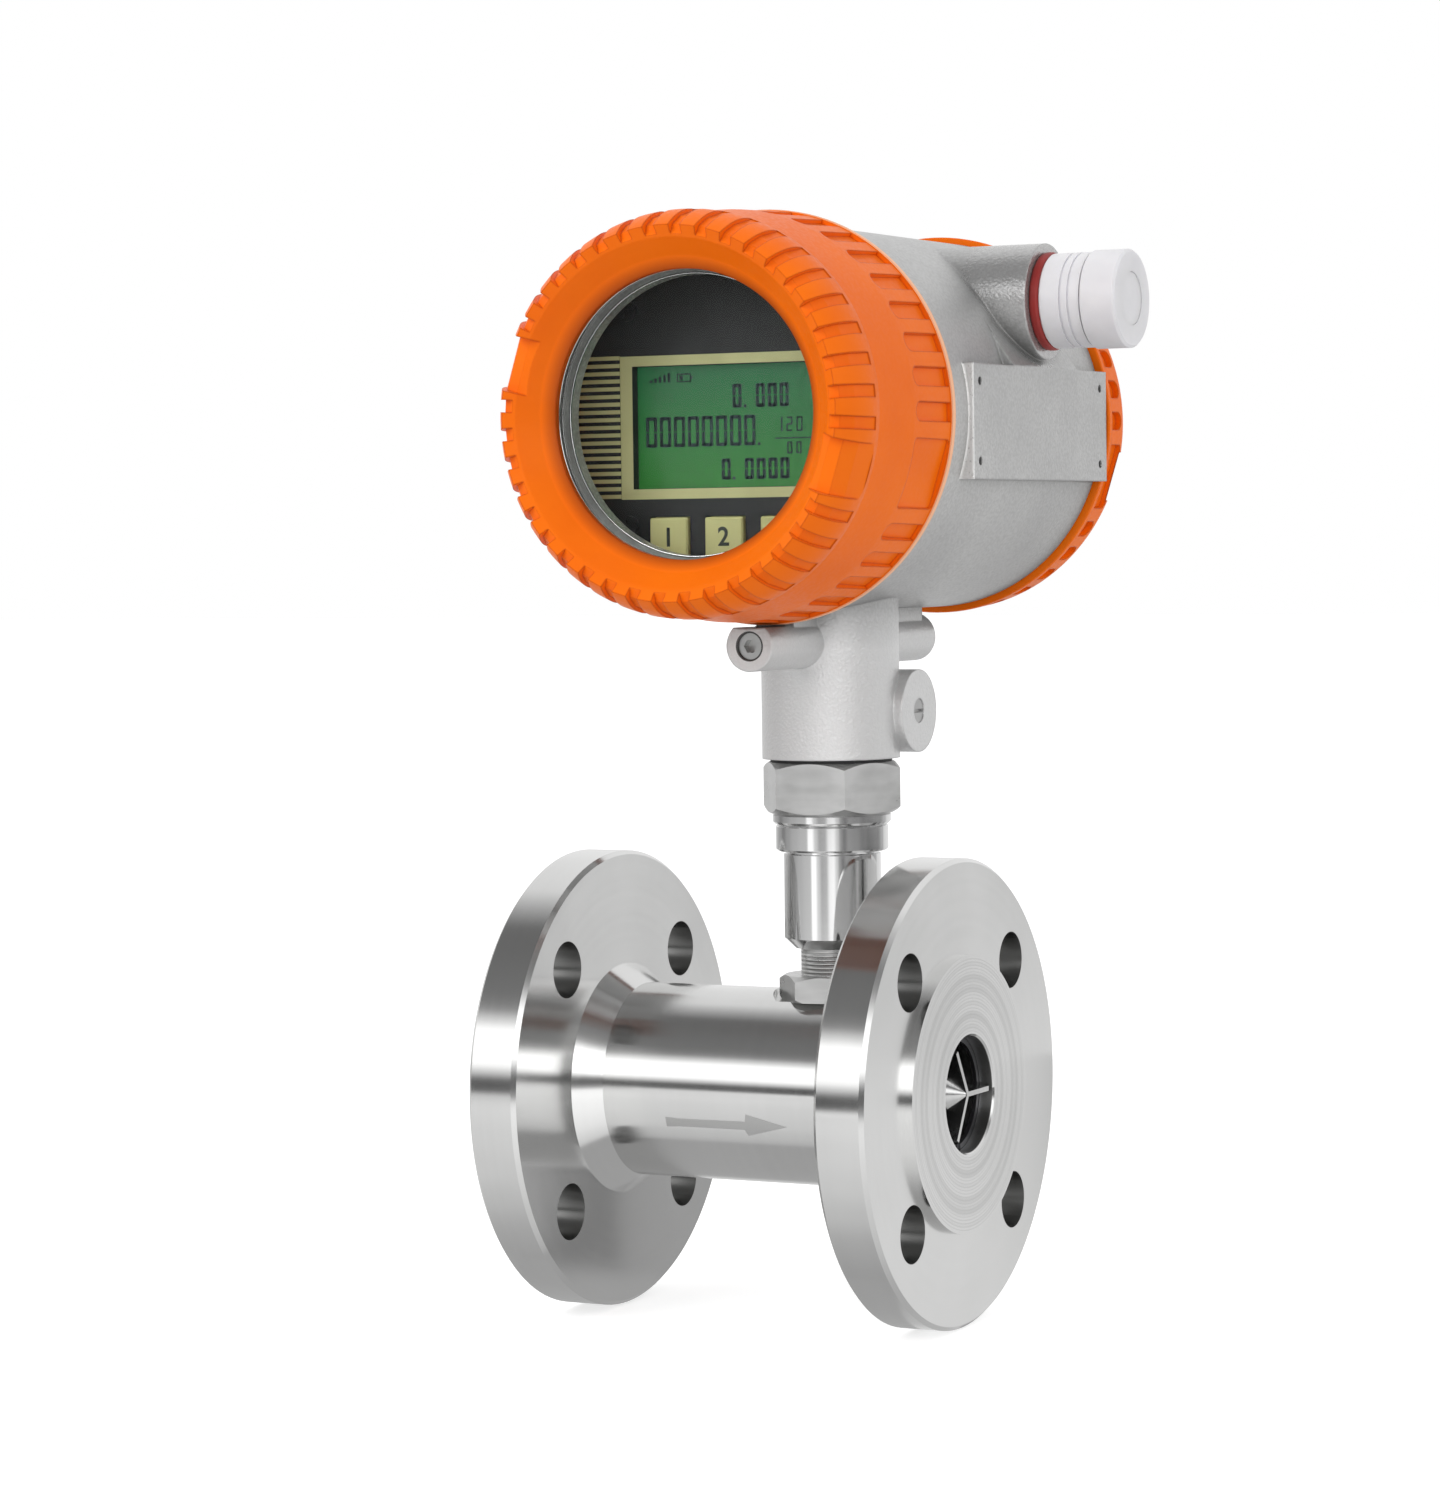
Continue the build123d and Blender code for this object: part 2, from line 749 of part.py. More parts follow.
with BuildPart() as window_ring:
    with BuildSketch(head.offset(window_seat - gasket_t - glass_t - window_ring_t)):
        Circle(glass_r + 0.42)
        Circle(32.5, mode=Mode.SUBTRACT)
        with PolarLocations(36.2, 2):
            Circle(1.5, mode=Mode.SUBTRACT)
    extrude(amount=window_ring_t)
window_ring.part.label = "window_ring"
export_step(window_ring.part, "parts/window_ring.step")

# Cutters for the rear cover
with BuildPart() as rear_pocket:
    with BuildSketch(Plane.YZ.offset(head_x + rear_pocket_r)):
        with Locations((69.1, head_z)):
            Rectangle(5.0, pocket_width)
        with Locations((71.5, head_z)):
            Circle(pocket_width / 2)
    extrude(amount=6.0)
with BuildPart() as rear_wide_pocket:
    with BuildSketch(Plane.YZ.offset(head_x + rear_pocket_r - 0.3)):
        with Locations((70.4, head_z)):
            RectangleRounded(7.6, wide_pocket_width, 1.2)
    extrude(amount=6.0)
with BuildPart() as rear_wrench_slot:
    with BuildSketch(head_half):
        with BuildLine():
            Polyline(
                (30.0, -77.6),
                (41.5, -77.6),
                (51.0, -72.0),
                (53.0, -90.0),
                (30.0, -90.0),
                close=True,
            )
        make_face()
    extrude(amount=wrench_slot_width / 2, both=True)

rear_cuts = []
for side in (0, 180):
    for number in range(pockets_a_side):
        angle = grip_angle + side + first_pocket + pocket_pitch * number
        rear_cuts.append(rear_pocket.part.rotate(head_axis, angle))
    rear_cuts.append(rear_wide_pocket.part.rotate(head_axis, grip_angle + side))
    rear_cuts.append(rear_wrench_slot.part.rotate(head_axis, grip_angle + side))

# Rear cover, a short blind cap over the terminal side
with BuildPart() as rear_cover:
    with BuildSketch(head_half):
        with BuildLine():
            Polyline(
                (41.5, rear_high),
                (38.0, rear_high),
                (36.4, rear_face),
                (0, rear_face),
                (0, rear_seat),
                (cover_bore_r, rear_seat),
                (cover_bore_r, rear_low),
                (rear_rim_r - 0.3, rear_low),
                (rear_rim_r, rear_low - 0.3),
                (rear_rim_r, rear_low - rim_t),
                (rear_rim_r - 0.4, rear_low - rim_t - 0.2),
                (47.8, -73.6),
            )
            ThreePointArc((47.8, -73.6), (45.9, -78.4), (41.5, rear_high))
        make_face()
    revolve(axis=head_axis)
    add(rear_cuts, mode=Mode.SUBTRACT)
rear_cover.part.label = "rear_cover"
export_step(rear_cover.part, "parts/rear_cover.step")

with BuildPart() as rear_gasket:
    with BuildSketch(head.offset(rear_seat)):
        Circle(neck_r - 0.4)
        Circle(cavity_r + 0.4, mode=Mode.SUBTRACT)
    extrude(amount=1.6)
rear_gasket.part.label = "rear_gasket"
export_step(rear_gasket.part, "parts/rear_gasket.step")

# Display panel with a window for the display and three square key holes
with BuildPart() as display_panel:
    with BuildSketch(head.offset(panel_front - panel_t)):
        Circle(panel_r)
        with Locations((0, display_z)):
            Rectangle(display_w, display_h, mode=Mode.SUBTRACT)
        with Locations((-key_pitch, key_z), (0, key_z), (key_pitch, key_z)):
            Rectangle(key_size + 0.4, key_size + 0.4, mode=Mode.SUBTRACT)
        with Locations(pillar_spots):
            Circle(1.6, mode=Mode.SUBTRACT)
    extrude(amount=panel_t)
display_panel.part.label = "display_panel"
export_step(display_panel.part, "parts/display_panel.step")

with BuildPart() as display:
    with BuildSketch(head.offset(display_back)):
        with Locations((0, display_z)):
            Rectangle(display_w + 4.0, display_h + 4.0)
    extrude(amount=panel_front - panel_t - display_back)
display.part.label = "display"
export_step(display.part, "parts/display.step")

# Circuit boards
with BuildPart() as display_board:
    with BuildSketch(head.offset(display_board_f)):
        Circle(39.0)
        with Locations(pillar_spots):
            Circle(1.3, mode=Mode.SUBTRACT)
    extrude(amount=board_t)
display_board.part.label = "display_board"
export_step(display_board.part, "parts/display_board.step")

with BuildPart() as display_frame:
    with BuildSketch(head.offset(display_board_f + board_t)):
        with Locations((0, display_z)):
            Rectangle(display_w + 4.0, display_h + 4.0)
            Rectangle(display_w - 1.0, display_h - 1.0, mode=Mode.SUBTRACT)
    extrude(amount=display_back - display_board_f - board_t)
display_frame.part.label = "display_frame"
export_step(display_frame.part, "parts/display_frame.step")

with BuildPart() as main_board:
    with BuildSketch(head.offset(main_board_f)):
        Circle(38.5)
        with Locations(pillar_spots):
            Circle(1.3, mode=Mode.SUBTRACT)
        with Locations((0, -36.0)):
            Rectangle(16.0, 8.0, mode=Mode.SUBTRACT)
    extrude(amount=board_t)
main_board.part.label = "main_board"
export_step(main_board.part, "parts/main_board.step")

with BuildPart() as main_components:
    with BuildSketch(head.offset(main_board_f + board_t)):
        with Locations((-12.0, 8.0)):
            Rectangle(18.0, 16.0)
        with Locations((12.0, -8.0)):
            Rectangle(12.0, 12.0)
    extrude(amount=3.2)
    with BuildSketch(head.offset(main_board_f + board_t)):
        with Locations((10.0, 15.0), (22.0, 8.0)):
            Circle(4.0)
    extrude(amount=11.0)
main_components.part.label = "main_components"
export_step(main_components.part, "parts/main_components.step")

# Hexagonal pillars between the wall, the two boards and the panel, four stacks of three
with BuildPart() as board_pillars:
    for start, end in (
        (wall_front, main_board_f),
        (main_board_f + board_t, display_board_f),
        (display_board_f + board_t, panel_front - panel_t),
    ):
        with BuildSketch(head.offset(start)):
            with Locations(pillar_spots):
                RegularPolygon(2.75, 6, major_radius=False)
        extrude(amount=end - start)
    with BuildSketch(head.offset(display_board_f + board_t)):
        with Locations(pillar_spots):
            Circle(1.3)
    extrude(amount=panel_front - panel_t - display_board_f - board_t, mode=Mode.SUBTRACT)
board_pillars.part.label = "board_pillars"
export_step(board_pillars.part, "parts/board_pillars.step")

with BuildPart() as panel_screws:
    with BuildSketch(head.offset(panel_front - 6.1)):
        with Locations(pillar_spots):
            Circle(1.25)
    extrude(amount=6.1)
    with BuildSketch(head.offset(panel_front)):
        with Locations(pillar_spots):
            Circle(2.6)
    extrude(amount=1.6)
    with BuildSketch(head.offset(panel_front + 0.9)):
        with Locations(pillar_spots):
            Rectangle(6.0, 0.6)
            Rectangle(0.6, 3.2)
    extrude(amount=1.0, mode=Mode.SUBTRACT)
panel_screws.part.label = "panel_screws"
export_step(panel_screws.part, "parts/panel_screws.step")

# Three square push keys with a flange that stops them behind the panel
with BuildPart() as key_1:
    with BuildSketch(head.offset(key_back)):
        with Locations((-key_pitch, key_z)):
            RectangleRounded(key_size + 2.0, key_size + 2.0, 0.6)
    extrude(amount=key_flange_t)
    with BuildSketch(head.offset(key_back)):
        with Locations((-key_pitch, key_z)):
            RectangleRounded(key_size, key_size, 0.6)
    extrude(amount=key_t)
    chamfer(key_1.faces().sort_by(Axis.Y)[0].edges(), 0.4)
key_1.part.label = "key_1"
export_step(key_1.part, "parts/key_1.step")

with BuildPart() as key_2:
    with BuildSketch(head.offset(key_back)):
        with Locations((0, key_z)):
            RectangleRounded(key_size + 2.0, key_size + 2.0, 0.6)
    extrude(amount=key_flange_t)
    with BuildSketch(head.offset(key_back)):
        with Locations((0, key_z)):
            RectangleRounded(key_size, key_size, 0.6)
    extrude(amount=key_t)
    chamfer(key_2.faces().sort_by(Axis.Y)[0].edges(), 0.4)
key_2.part.label = "key_2"
export_step(key_2.part, "parts/key_2.step")

with BuildPart() as key_3:
    with BuildSketch(head.offset(key_back)):
        with Locations((key_pitch, key_z)):
            RectangleRounded(key_size + 2.0, key_size + 2.0, 0.6)
    extrude(amount=key_flange_t)
    with BuildSketch(head.offset(key_back)):
        with Locations((key_pitch, key_z)):
            RectangleRounded(key_size, key_size, 0.6)
    extrude(amount=key_t)
    chamfer(key_3.faces().sort_by(Axis.Y)[0].edges(), 0.4)
key_3.part.label = "key_3"
export_step(key_3.part, "parts/key_3.step")

with BuildPart() as key_switches:
    with BuildSketch(head.offset(display_board_f + board_t)):
        with Locations((-key_pitch, key_z), (0, key_z), (key_pitch, key_z)):
            Rectangle(6.0, 6.0)
    extrude(amount=1.3)
    with BuildSketch(head.offset(display_board_f + board_t + 1.3)):
        with Locations((-key_pitch, key_z), (0, key_z), (key_pitch, key_z)):
            Circle(1.6)
    extrude(amount=0.3)
key_switches.part.label = "key_switches"
export_step(key_switches.part, "parts/key_switches.step")

# Terminal side behind the rear cover
with BuildPart() as terminal_block:
    with BuildSketch(head.offset(wall_rear - 14.0)):
        with Locations((0, -12.0)):
            Rectangle(54.0, 18.0)
    extrude(amount=14.0)
    with BuildSketch(head.offset(wall_rear - 14.0)):
        with GridLocations(9.0, 1.0, 6, 1):
            with Locations((0, -15.0)):
                Circle(3.3)
    extrude(amount=8.0, mode=Mode.SUBTRACT)
    with BuildSketch(Plane.XY.offset(head_z - 3.0)):
        with GridLocations(9.0, 1.0, 6, 1):
            with Locations((head_x, 20.0)):
                Rectangle(5.0, 5.0)
    extrude(amount=-5.0, mode=Mode.SUBTRACT)
terminal_block.part.label = "terminal_block"
export_step(terminal_block.part, "parts/terminal_block.step")

with BuildPart() as terminal_screws:
    with BuildSketch(head.offset(wall_rear - 13.0)):
        with GridLocations(9.0, 1.0, 6, 1):
            with Locations((0, -15.0)):
                Circle(3.0)
    extrude(amount=7.0)
    with BuildSketch(head.offset(wall_rear - 13.0)):
        with GridLocations(9.0, 1.0, 6, 1):
            with Locations((0, -15.0)):
                Rectangle(7.0, 0.8)
    extrude(amount=1.2, mode=Mode.SUBTRACT)
terminal_screws.part.label = "terminal_screws"
export_step(terminal_screws.part, "parts/terminal_screws.step")

with BuildPart() as earth_screw:
    with BuildSketch(head.offset(wall_rear - 3.5)):
        with Locations((-26.0, 18.0)):
            Circle(4.0)
    extrude(amount=3.5)
    with BuildSketch(head.offset(wall_rear - 3.5)):
        with Locations((-26.0, 18.0)):
            Rectangle(9.0, 1.0)
    extrude(amount=1.4, mode=Mode.SUBTRACT)
earth_screw.part.label = "earth_screw"
export_step(earth_screw.part, "parts/earth_screw.step")

# Cable gland in the conduit boss: seal ring, body, rubber insert, cap nut and the disc it clamps
with BuildPart() as gland_seal:
    with BuildSketch(right.offset(conduit_face)):
        Circle(gland_r)
        Circle(gland_thread_r + 0.1, mode=Mode.SUBTRACT)
    extrude(amount=seal_t)
    fillet(gland_seal.edges().filter_by(GeomType.CIRCLE).sort_by(SortBy.RADIUS)[-2:], 0.8)
gland_seal.part.label = "gland_seal"
export_step(gland_seal.part, "parts/gland_seal.step")

with BuildPart() as gland_body:
    with BuildSketch(gland_half):
        with BuildLine():
            Polyline(
                (34.0, insert_r),
                (34.0, gland_thread_r - 0.6),
                (34.6, gland_thread_r),
                (conduit_face + seal_t, gland_thread_r),
                (conduit_face + seal_t, 11.2),
                (51.3, 11.6),
                (56.2, 11.6),
                (56.2, 11.2),
                (56.8, 11.2),
                (56.8, 11.6),
                (58.3, 11.6),
                (58.3, 11.2),
                (58.9, 11.2),
                (58.9, 11.6),
                (cap_low - 0.4, 11.6),
                (cap_low - 0.4, cap_thread_r),
                (67.4, cap_thread_r),
                (67.8, cap_thread_r - 0.4),
                (67.8, insert_r),
                close=True,
            )
        make_face()
    revolve(axis=gland_axis)
gland_body.part.label = "gland_body"
export_step(gland_body.part, "parts/gland_body.step")

with BuildPart() as gland_insert:
    with BuildSketch(right.offset(56.0)):
        Circle(insert_r - thread_play)
        Circle(3.2, mode=Mode.SUBTRACT)
    extrude(amount=11.6)
gland_insert.part.label = "gland_insert"
export_step(gland_insert.part, "parts/gland_insert.step")

with BuildPart() as gland_cap:
    with BuildSketch(gland_half):
        with BuildLine():
            Polyline(
                (cap_low, cap_thread_r + 0.06),
                (cap_low, gland_r - 0.2),
                (cap_low + 0.2, gland_r),
                (cap_high - 0.6, gland_r),
                (cap_high, gland_r - 0.6),
                (cap_high, insert_r),
                (cap_lip, insert_r),
                (cap_lip, cap_thread_r + 0.06),
                close=True,
            )
        make_face()
    revolve(axis=gland_axis)
gland_cap.part.label = "gland_cap"
export_step(gland_cap.part, "parts/gland_cap.step")

with BuildPart() as gland_disc:
    with BuildSketch(right.offset(cap_lip - 1.1)):
        Circle(9.2)
    extrude(amount=1.1)
    with BuildSketch(right.offset(cap_lip)):
        Circle(insert_r - 0.06)
    extrude(amount=cap_high - cap_lip - 0.2)
gland_disc.part.label = "gland_disc"
export_step(gland_disc.part, "parts/gland_disc.step")
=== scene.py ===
from math import cos, pi, radians, sin

import bmesh
import bpy
from mathutils import Matrix, Vector


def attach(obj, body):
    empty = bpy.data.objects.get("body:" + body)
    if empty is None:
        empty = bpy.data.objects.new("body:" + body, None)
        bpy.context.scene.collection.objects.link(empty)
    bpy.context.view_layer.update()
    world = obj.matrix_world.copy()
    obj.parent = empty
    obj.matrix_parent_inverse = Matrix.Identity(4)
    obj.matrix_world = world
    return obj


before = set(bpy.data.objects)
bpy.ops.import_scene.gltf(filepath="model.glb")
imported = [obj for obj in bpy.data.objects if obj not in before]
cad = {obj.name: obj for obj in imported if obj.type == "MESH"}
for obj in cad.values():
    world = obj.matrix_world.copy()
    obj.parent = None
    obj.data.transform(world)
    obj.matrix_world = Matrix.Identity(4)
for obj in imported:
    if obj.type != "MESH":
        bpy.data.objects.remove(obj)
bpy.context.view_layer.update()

# The view of the meter. The photographer stands a metre off, to the right of the display's own
# direction and hardly above it, and looks through a long lens. All lengths are in metres.
aim = Vector((0.042725, 0.0, 0.083263))
stand_off = 1.080863
picture_height, focal_pixels, sensor_height = 1500.0, 4329.796, 36.0
turn, lift, roll = radians(27.186), radians(2.742), radians(-0.753)
away = Vector((sin(turn) * cos(lift), -cos(turn) * cos(lift), sin(lift)))
level = Vector((cos(turn), sin(turn), 0.0))
upright = away.cross(level)
rightward = level * cos(roll) + upright * sin(roll)
upward = upright * cos(roll) - level * sin(roll)
lens = bpy.data.cameras.new("meter_camera")
lens.sensor_fit = "VERTICAL"
lens.sensor_height = sensor_height
lens.lens = sensor_height * focal_pixels / picture_height
lens.clip_end = 30.0
camera = bpy.data.objects.new("meter_camera", lens)
facing = Matrix((rightward, upward, away)).transposed().to_4x4()
camera.matrix_world = Matrix.Translation(aim + away * stand_off) @ facing
bpy.context.scene.collection.objects.link(camera)
bpy.context.scene.camera = camera
bpy.context.scene.view_settings.view_transform = "Standard"

# The studio round the meter: a white cove. Its light is what the bare steel mirrors, so it has a
# bright band at eye level, a dim front upper half and a paler back, and tall strips left and right.
studio = bpy.data.worlds.new("white_cove")
studio.use_nodes = True
bpy.context.scene.world = studio
cove = studio.node_tree
cove.nodes.clear()
cove_out = cove.nodes.new("ShaderNodeOutputWorld")


def feed(tree, socket, value):
    if isinstance(value, bpy.types.NodeSocket):
        tree.links.new(value, socket)
    else:
        socket.default_value = value


def reckon(tree, operation, *values):
    node = tree.nodes.new("ShaderNodeMath")
    node.operation = operation
    for socket, value in zip(node.inputs, values):
        feed(tree, socket, value)
    return node.outputs[0]


def reckon_way(tree, operation, *values):
    node = tree.nodes.new("ShaderNodeVectorMath")
    node.operation = operation
    for socket, value in zip(node.inputs, values):
        feed(tree, socket, value)
    return node.outputs["Value" if operation in ("DOT_PRODUCT", "LENGTH") else "Vector"]


def blended(tree, share, first, second, how="MIX"):
    node = tree.nodes.new("ShaderNodeMix")
    node.data_type = "RGBA"
    node.blend_type = how
    feed(tree, node.inputs[0], share)
    for socket, tone in ((node.inputs[6], first), (node.inputs[7], second)):
        feed(tree, socket, (*tone, 1) if isinstance(tone, tuple) else tone)
    return node.outputs[2]


def parts_of(tree, way):
    node = tree.nodes.new("ShaderNodeSeparateXYZ")
    tree.links.new(way, node.inputs[0])
    return node.outputs


def cove_ramp(position, stops):
    node = cove.nodes.new("ShaderNodeValToRGB")
    band = node.color_ramp
    band.interpolation = "EASE"
    band.elements[0].position, band.elements[1].position = stops[0][0], stops[-1][0]
    band.elements[0].color = (stops[0][1],) * 3 + (1,)
    band.elements[1].color = (stops[-1][1],) * 3 + (1,)
    for place, brightness in stops[1:-1]:
        band.elements.new(place).color = (brightness,) * 3 + (1,)
    cove.links.new(position, node.inputs[0])
    return node.outputs[0]


cove_way = cove.nodes.new("ShaderNodeTexCoord").outputs["Generated"]
cove_parts = parts_of(cove, cove_way)


def cove_along(direction):
    return reckon_way(cove, "DOT_PRODUCT", cove_way, direction)


height_angle = reckon(cove, "ARCSINE", cove_parts["Z"])
height_place = reckon(cove, "MULTIPLY_ADD", height_angle, 1 / pi, 0.5)
toward_camera = Vector((away.x, away.y, 0)).normalized()
round_angle = reckon(cove, "ARCTAN2", cove_along(level), cove_along(toward_camera))
round_place = reckon(cove, "MULTIPLY_ADD", round_angle, 0.5 / pi, 0.5)
front_sky = cove_ramp(height_place, [
    (0.0, 0.36), (0.16, 0.54), (0.228, 0.7), (0.3, 0.8), (0.383, 0.86), (0.455, 0.94), (0.472, 0.8),
    (0.483, 0.1), (0.515, 0.1), (0.534, 0.8), (0.552, 1.5), (0.632, 1.55), (0.66, 0.8), (0.684, 0.26),
    (0.72, 0.2), (0.85, 0.18), (1.0, 0.5),
])
back_sky = cove_ramp(height_place, [
    (0.0, 0.4), (0.3, 0.6), (0.43, 0.86), (0.5, 0.93), (0.6, 1.0), (0.85, 0.97), (1.0, 0.6),
])
round_glow = cove_ramp(round_place, [
    (0.0, 0.95), (0.17, 0.85), (0.25, 0.9), (0.33, 1.0), (0.375, 1.0), (0.44, 1.55), (0.54, 1.55),
    (0.63, 1.0), (0.8, 1.0), (1.0, 0.95),
])
round_strips = cove_ramp(round_place, [
    (0.0, 0.9), (0.13, 0.37), (0.162, 0.25), (0.206, 0.42), (0.264, 0.57), (0.314, 0.66), (0.346, 0.7),
    (0.36, 1.6), (0.378, 1.6), (0.4, 0.88), (0.427, 0.5), (0.453, 0.55), (0.48, 1.25), (0.503, 1.35),
    (0.525, 0.85), (0.545, 0.36), (0.564, 0.2), (0.59, 0.36), (0.64, 0.33), (0.686, 0.2), (0.72, 0.11),
    (0.79, 0.2), (0.845, 0.5), (0.88, 0.85), (0.94, 0.9), (1.0, 0.9),
])
back_share = reckon(cove, "MAXIMUM", reckon(cove, "MULTIPLY_ADD", cove_parts["Y"], 2.5, 0.15), 0.0)
whole_sky = blended(cove, reckon(cove, "MINIMUM", back_share, 1.0), front_sky, back_sky)
glowing_sky = blended(cove, 1.0, whole_sky, round_glow, "MULTIPLY")
strip_drop, strip_half = radians(4.5), radians(1.6)
off_level = reckon(cove, "ABSOLUTE", reckon(cove, "ADD", height_angle, strip_drop))
past_strip = reckon(cove, "POWER", reckon(cove, "DIVIDE", off_level, strip_half), 6.0)
level_share = reckon(cove, "SUBTRACT", 1.0, reckon(cove, "MINIMUM", past_strip, 1.0))
mirrored_sky = blended(cove, level_share, glowing_sky, round_strips)
cove_path = cove.nodes.new("ShaderNodeLightPath")


def cove_light(colour, strength=1.0):
    node = cove.nodes.new("ShaderNodeBackground")
    feed(cove, node.inputs[0], colour)
    node.inputs[1].default_value = strength
    return node.outputs[0]


def chosen_light(share, first, second):
    node = cove.nodes.new("ShaderNodeMixShader")
    for socket, value in zip(node.inputs, (share, first, second)):
        cove.links.new(value, socket)
    return node.outputs[0]


white, soft_strength = (1, 1, 1, 1), 0.81
in_mirror, to_camera, through_glass = (
    cove_path.outputs[ray] for ray in ("Is Glossy Ray", "Is Camera Ray", "Is Transmission Ray"))
unseen_light = chosen_light(in_mirror, cove_light(white, soft_strength), cove_light(mirrored_sky))
seen_directly = reckon(cove, "MAXIMUM", to_camera, through_glass)
cove.links.new(chosen_light(seen_directly, unseen_light, cove_light(white)), cove_out.inputs[0])

# The floor of the cove, white paper just under the flanges. It keeps the meter's shadow, and it
# glows a little where the camera sees it, so that it joins the background.
floor_z, floor_reach, paper_glow = -0.0580, 9, 0.6


def new_finish(name):
    material = bpy.data.materials.new(name)
    material.use_nodes = True
    tree = material.node_tree
    return material, tree, tree.nodes["Principled BSDF"]


def grain_of(tree, scale, detail=2, place=None, flat=False, fineness=0.5):
    node = tree.nodes.new("ShaderNodeTexNoise")
    if flat:
        node.noise_dimensions = "2D"
    node.inputs["Detail"].default_value = detail
    node.inputs["Roughness"].default_value = fineness
    feed(tree, node.inputs["Scale"], scale)
    if place:
        tree.links.new(place, node.inputs["Vector"])
    return node.outputs[0]


paper, paper_tree, paper_shader = new_finish("white_paper")
paper_shader.inputs["Roughness"].default_value = 0.9
paper_shader.inputs["Specular IOR Level"].default_value = 0.1
paper_shader.inputs["Emission Color"].default_value = white
paper_path = paper_tree.nodes.new("ShaderNodeLightPath")
seen_glow = reckon(paper_tree, "MULTIPLY", paper_path.outputs["Is Camera Ray"], paper_glow)
feed(paper_tree, paper_shader.inputs["Emission Strength"], seen_glow)
paper_white = blended(paper_tree, grain_of(paper_tree, 600), (0.74, 0.74, 0.74), (0.78, 0.78, 0.78))
feed(paper_tree, paper_shader.inputs["Base Color"], paper_white)
floor_mesh = bpy.data.meshes.new("floor")
floor_mesh.from_pydata([
    (x * floor_reach, y * floor_reach, floor_z) for x, y in ((-1, -1), (1, -1), (1, 1), (-1, 1))
], [], [(0, 1, 2, 3)])
floor = bpy.data.objects.new("floor", floor_mesh)
floor_mesh.materials.append(paper)
bpy.context.scene.collection.objects.link(floor)
floor.visible_glossy = False

# Three dark cards that only the steel mirrors. Two stand behind the meter and give the inner face
# of the far flange its grey, and one lies under the barrel as a painted shadow in its reflection.
card_y, card_low, card_high, lying_z = 0.15, -0.13, -0.008, -0.0575


def standing_card(x_low, x_high):
    corners = ((x_low, card_low), (x_high, card_low), (x_high, card_high), (x_low, card_high))
    return [(x, card_y, z) for x, z in corners]


lying_card = [(x, y, lying_z) for x, y in ((-0.005, -0.04), (0.1, -0.04), (0.1, 0.04), (-0.005, 0.04))]
for card_name, card_corners, card_shade in (
    ("grey_card", standing_card(0.05, 0.1), 0.42),
    ("black_card", standing_card(0.1, 0.142), 0.2),
    ("low_card", lying_card, 0.45),
):
    card_paint, _, card_shader = new_finish(card_name)
    card_shader.inputs["Base Color"].default_value = (0, 0, 0, 1)
    card_shader.inputs["Specular IOR Level"].default_value = 0.0
    card_shader.inputs["Emission Color"].default_value = (card_shade, card_shade, card_shade, 1)
    card_shader.inputs["Emission Strength"].default_value = 1.0
    card_mesh = bpy.data.meshes.new(card_name)
    card_mesh.from_pydata(card_corners, [], [(0, 1, 2, 3)])
    card_mesh.materials.append(card_paint)
    card = bpy.data.objects.new(card_name, card_mesh)
    card.visible_camera = card.visible_diffuse = card.visible_shadow = card.visible_transmission = False
    bpy.context.scene.collection.objects.link(card)

# Two soft lamps with square screens: a large one from the upper left front and a weak one from the
# right. Both face the meter, and the steel doesn't mirror them.
lamp_reach, lamp_aim = 1.4, Vector((0.05, 0, 0.1))
for lamp_name, lamp_way, lamp_size, lamp_power in (
    ("key_lamp", (-0.5, -1.1, 0.82), 1.1, 16.0),
    ("fill_lamp", (1.3, -0.6, 0.25), 0.9, 5.0),
):
    lamp = bpy.data.lights.new(lamp_name, "AREA")
    lamp.size = lamp_size
    lamp.energy = lamp_power
    lamp_object = bpy.data.objects.new(lamp_name, lamp)
    lamp_object.visible_glossy = False
    lamp_object.location = Vector(lamp_way) * lamp_reach + lamp_aim
    lamp_object.rotation_euler = Vector(lamp_way).to_track_quat("Z", "Y").to_euler()
    bpy.context.scene.collection.objects.link(lamp_object)

# The flow body. It is turned from one bar of stainless steel: two round flanges, their hubs and
# the barrel between them, with fine tool rings left on every face.
pipe_axis, pipe_point = (1.0, 0.0, 0.0), (0.0, 0.0, 0.0)


def shader_group(name, wanted, given):
    group = bpy.data.node_groups.new(name, "ShaderNodeTree")
    for socket_name, kind, value in wanted:
        socket = group.interface.new_socket(name=socket_name, in_out="INPUT", socket_type=kind)
        socket.default_value = value
    for socket_name in given:
        group.interface.new_socket(name=socket_name, in_out="OUTPUT", socket_type="NodeSocketFloat")
    return group, group.nodes.new("NodeGroupInput").outputs, group.nodes.new("NodeGroupOutput").inputs


def use_group(tree, group, settings):
    node = tree.nodes.new("ShaderNodeGroup")
    node.node_tree = group
    for socket_name, value in settings.items():
        node.inputs[socket_name].default_value = value
    return node.outputs


def own_place(tree):
    return tree.nodes.new("ShaderNodeTexCoord").outputs["Object"]


# Tool marks of the lathe: fine rings whose height and tone follow the distance from the turning
# axis and the place along it, so they run round a rim and circle on a face.
lathe, lathe_in, lathe_out = shader_group("lathe_marks", [
    ("Centre", "NodeSocketVector", (0, 0, 0)),
    ("Axis", "NodeSocketVector", (1, 0, 0)),
    ("Marks per mm", "NodeSocketFloat", 3.0),
], ["Height", "Tone", "Smudge"])
lathe_place = own_place(lathe)
lathe_arm = reckon_way(lathe, "SUBTRACT", lathe_place, lathe_in["Centre"])
lathe_along = reckon_way(lathe, "DOT_PRODUCT", lathe_arm, lathe_in["Axis"])
lathe_cross = reckon_way(lathe, "CROSS_PRODUCT", lathe_arm, lathe_in["Axis"])
lathe_reach = reckon_way(lathe, "LENGTH", lathe_cross)
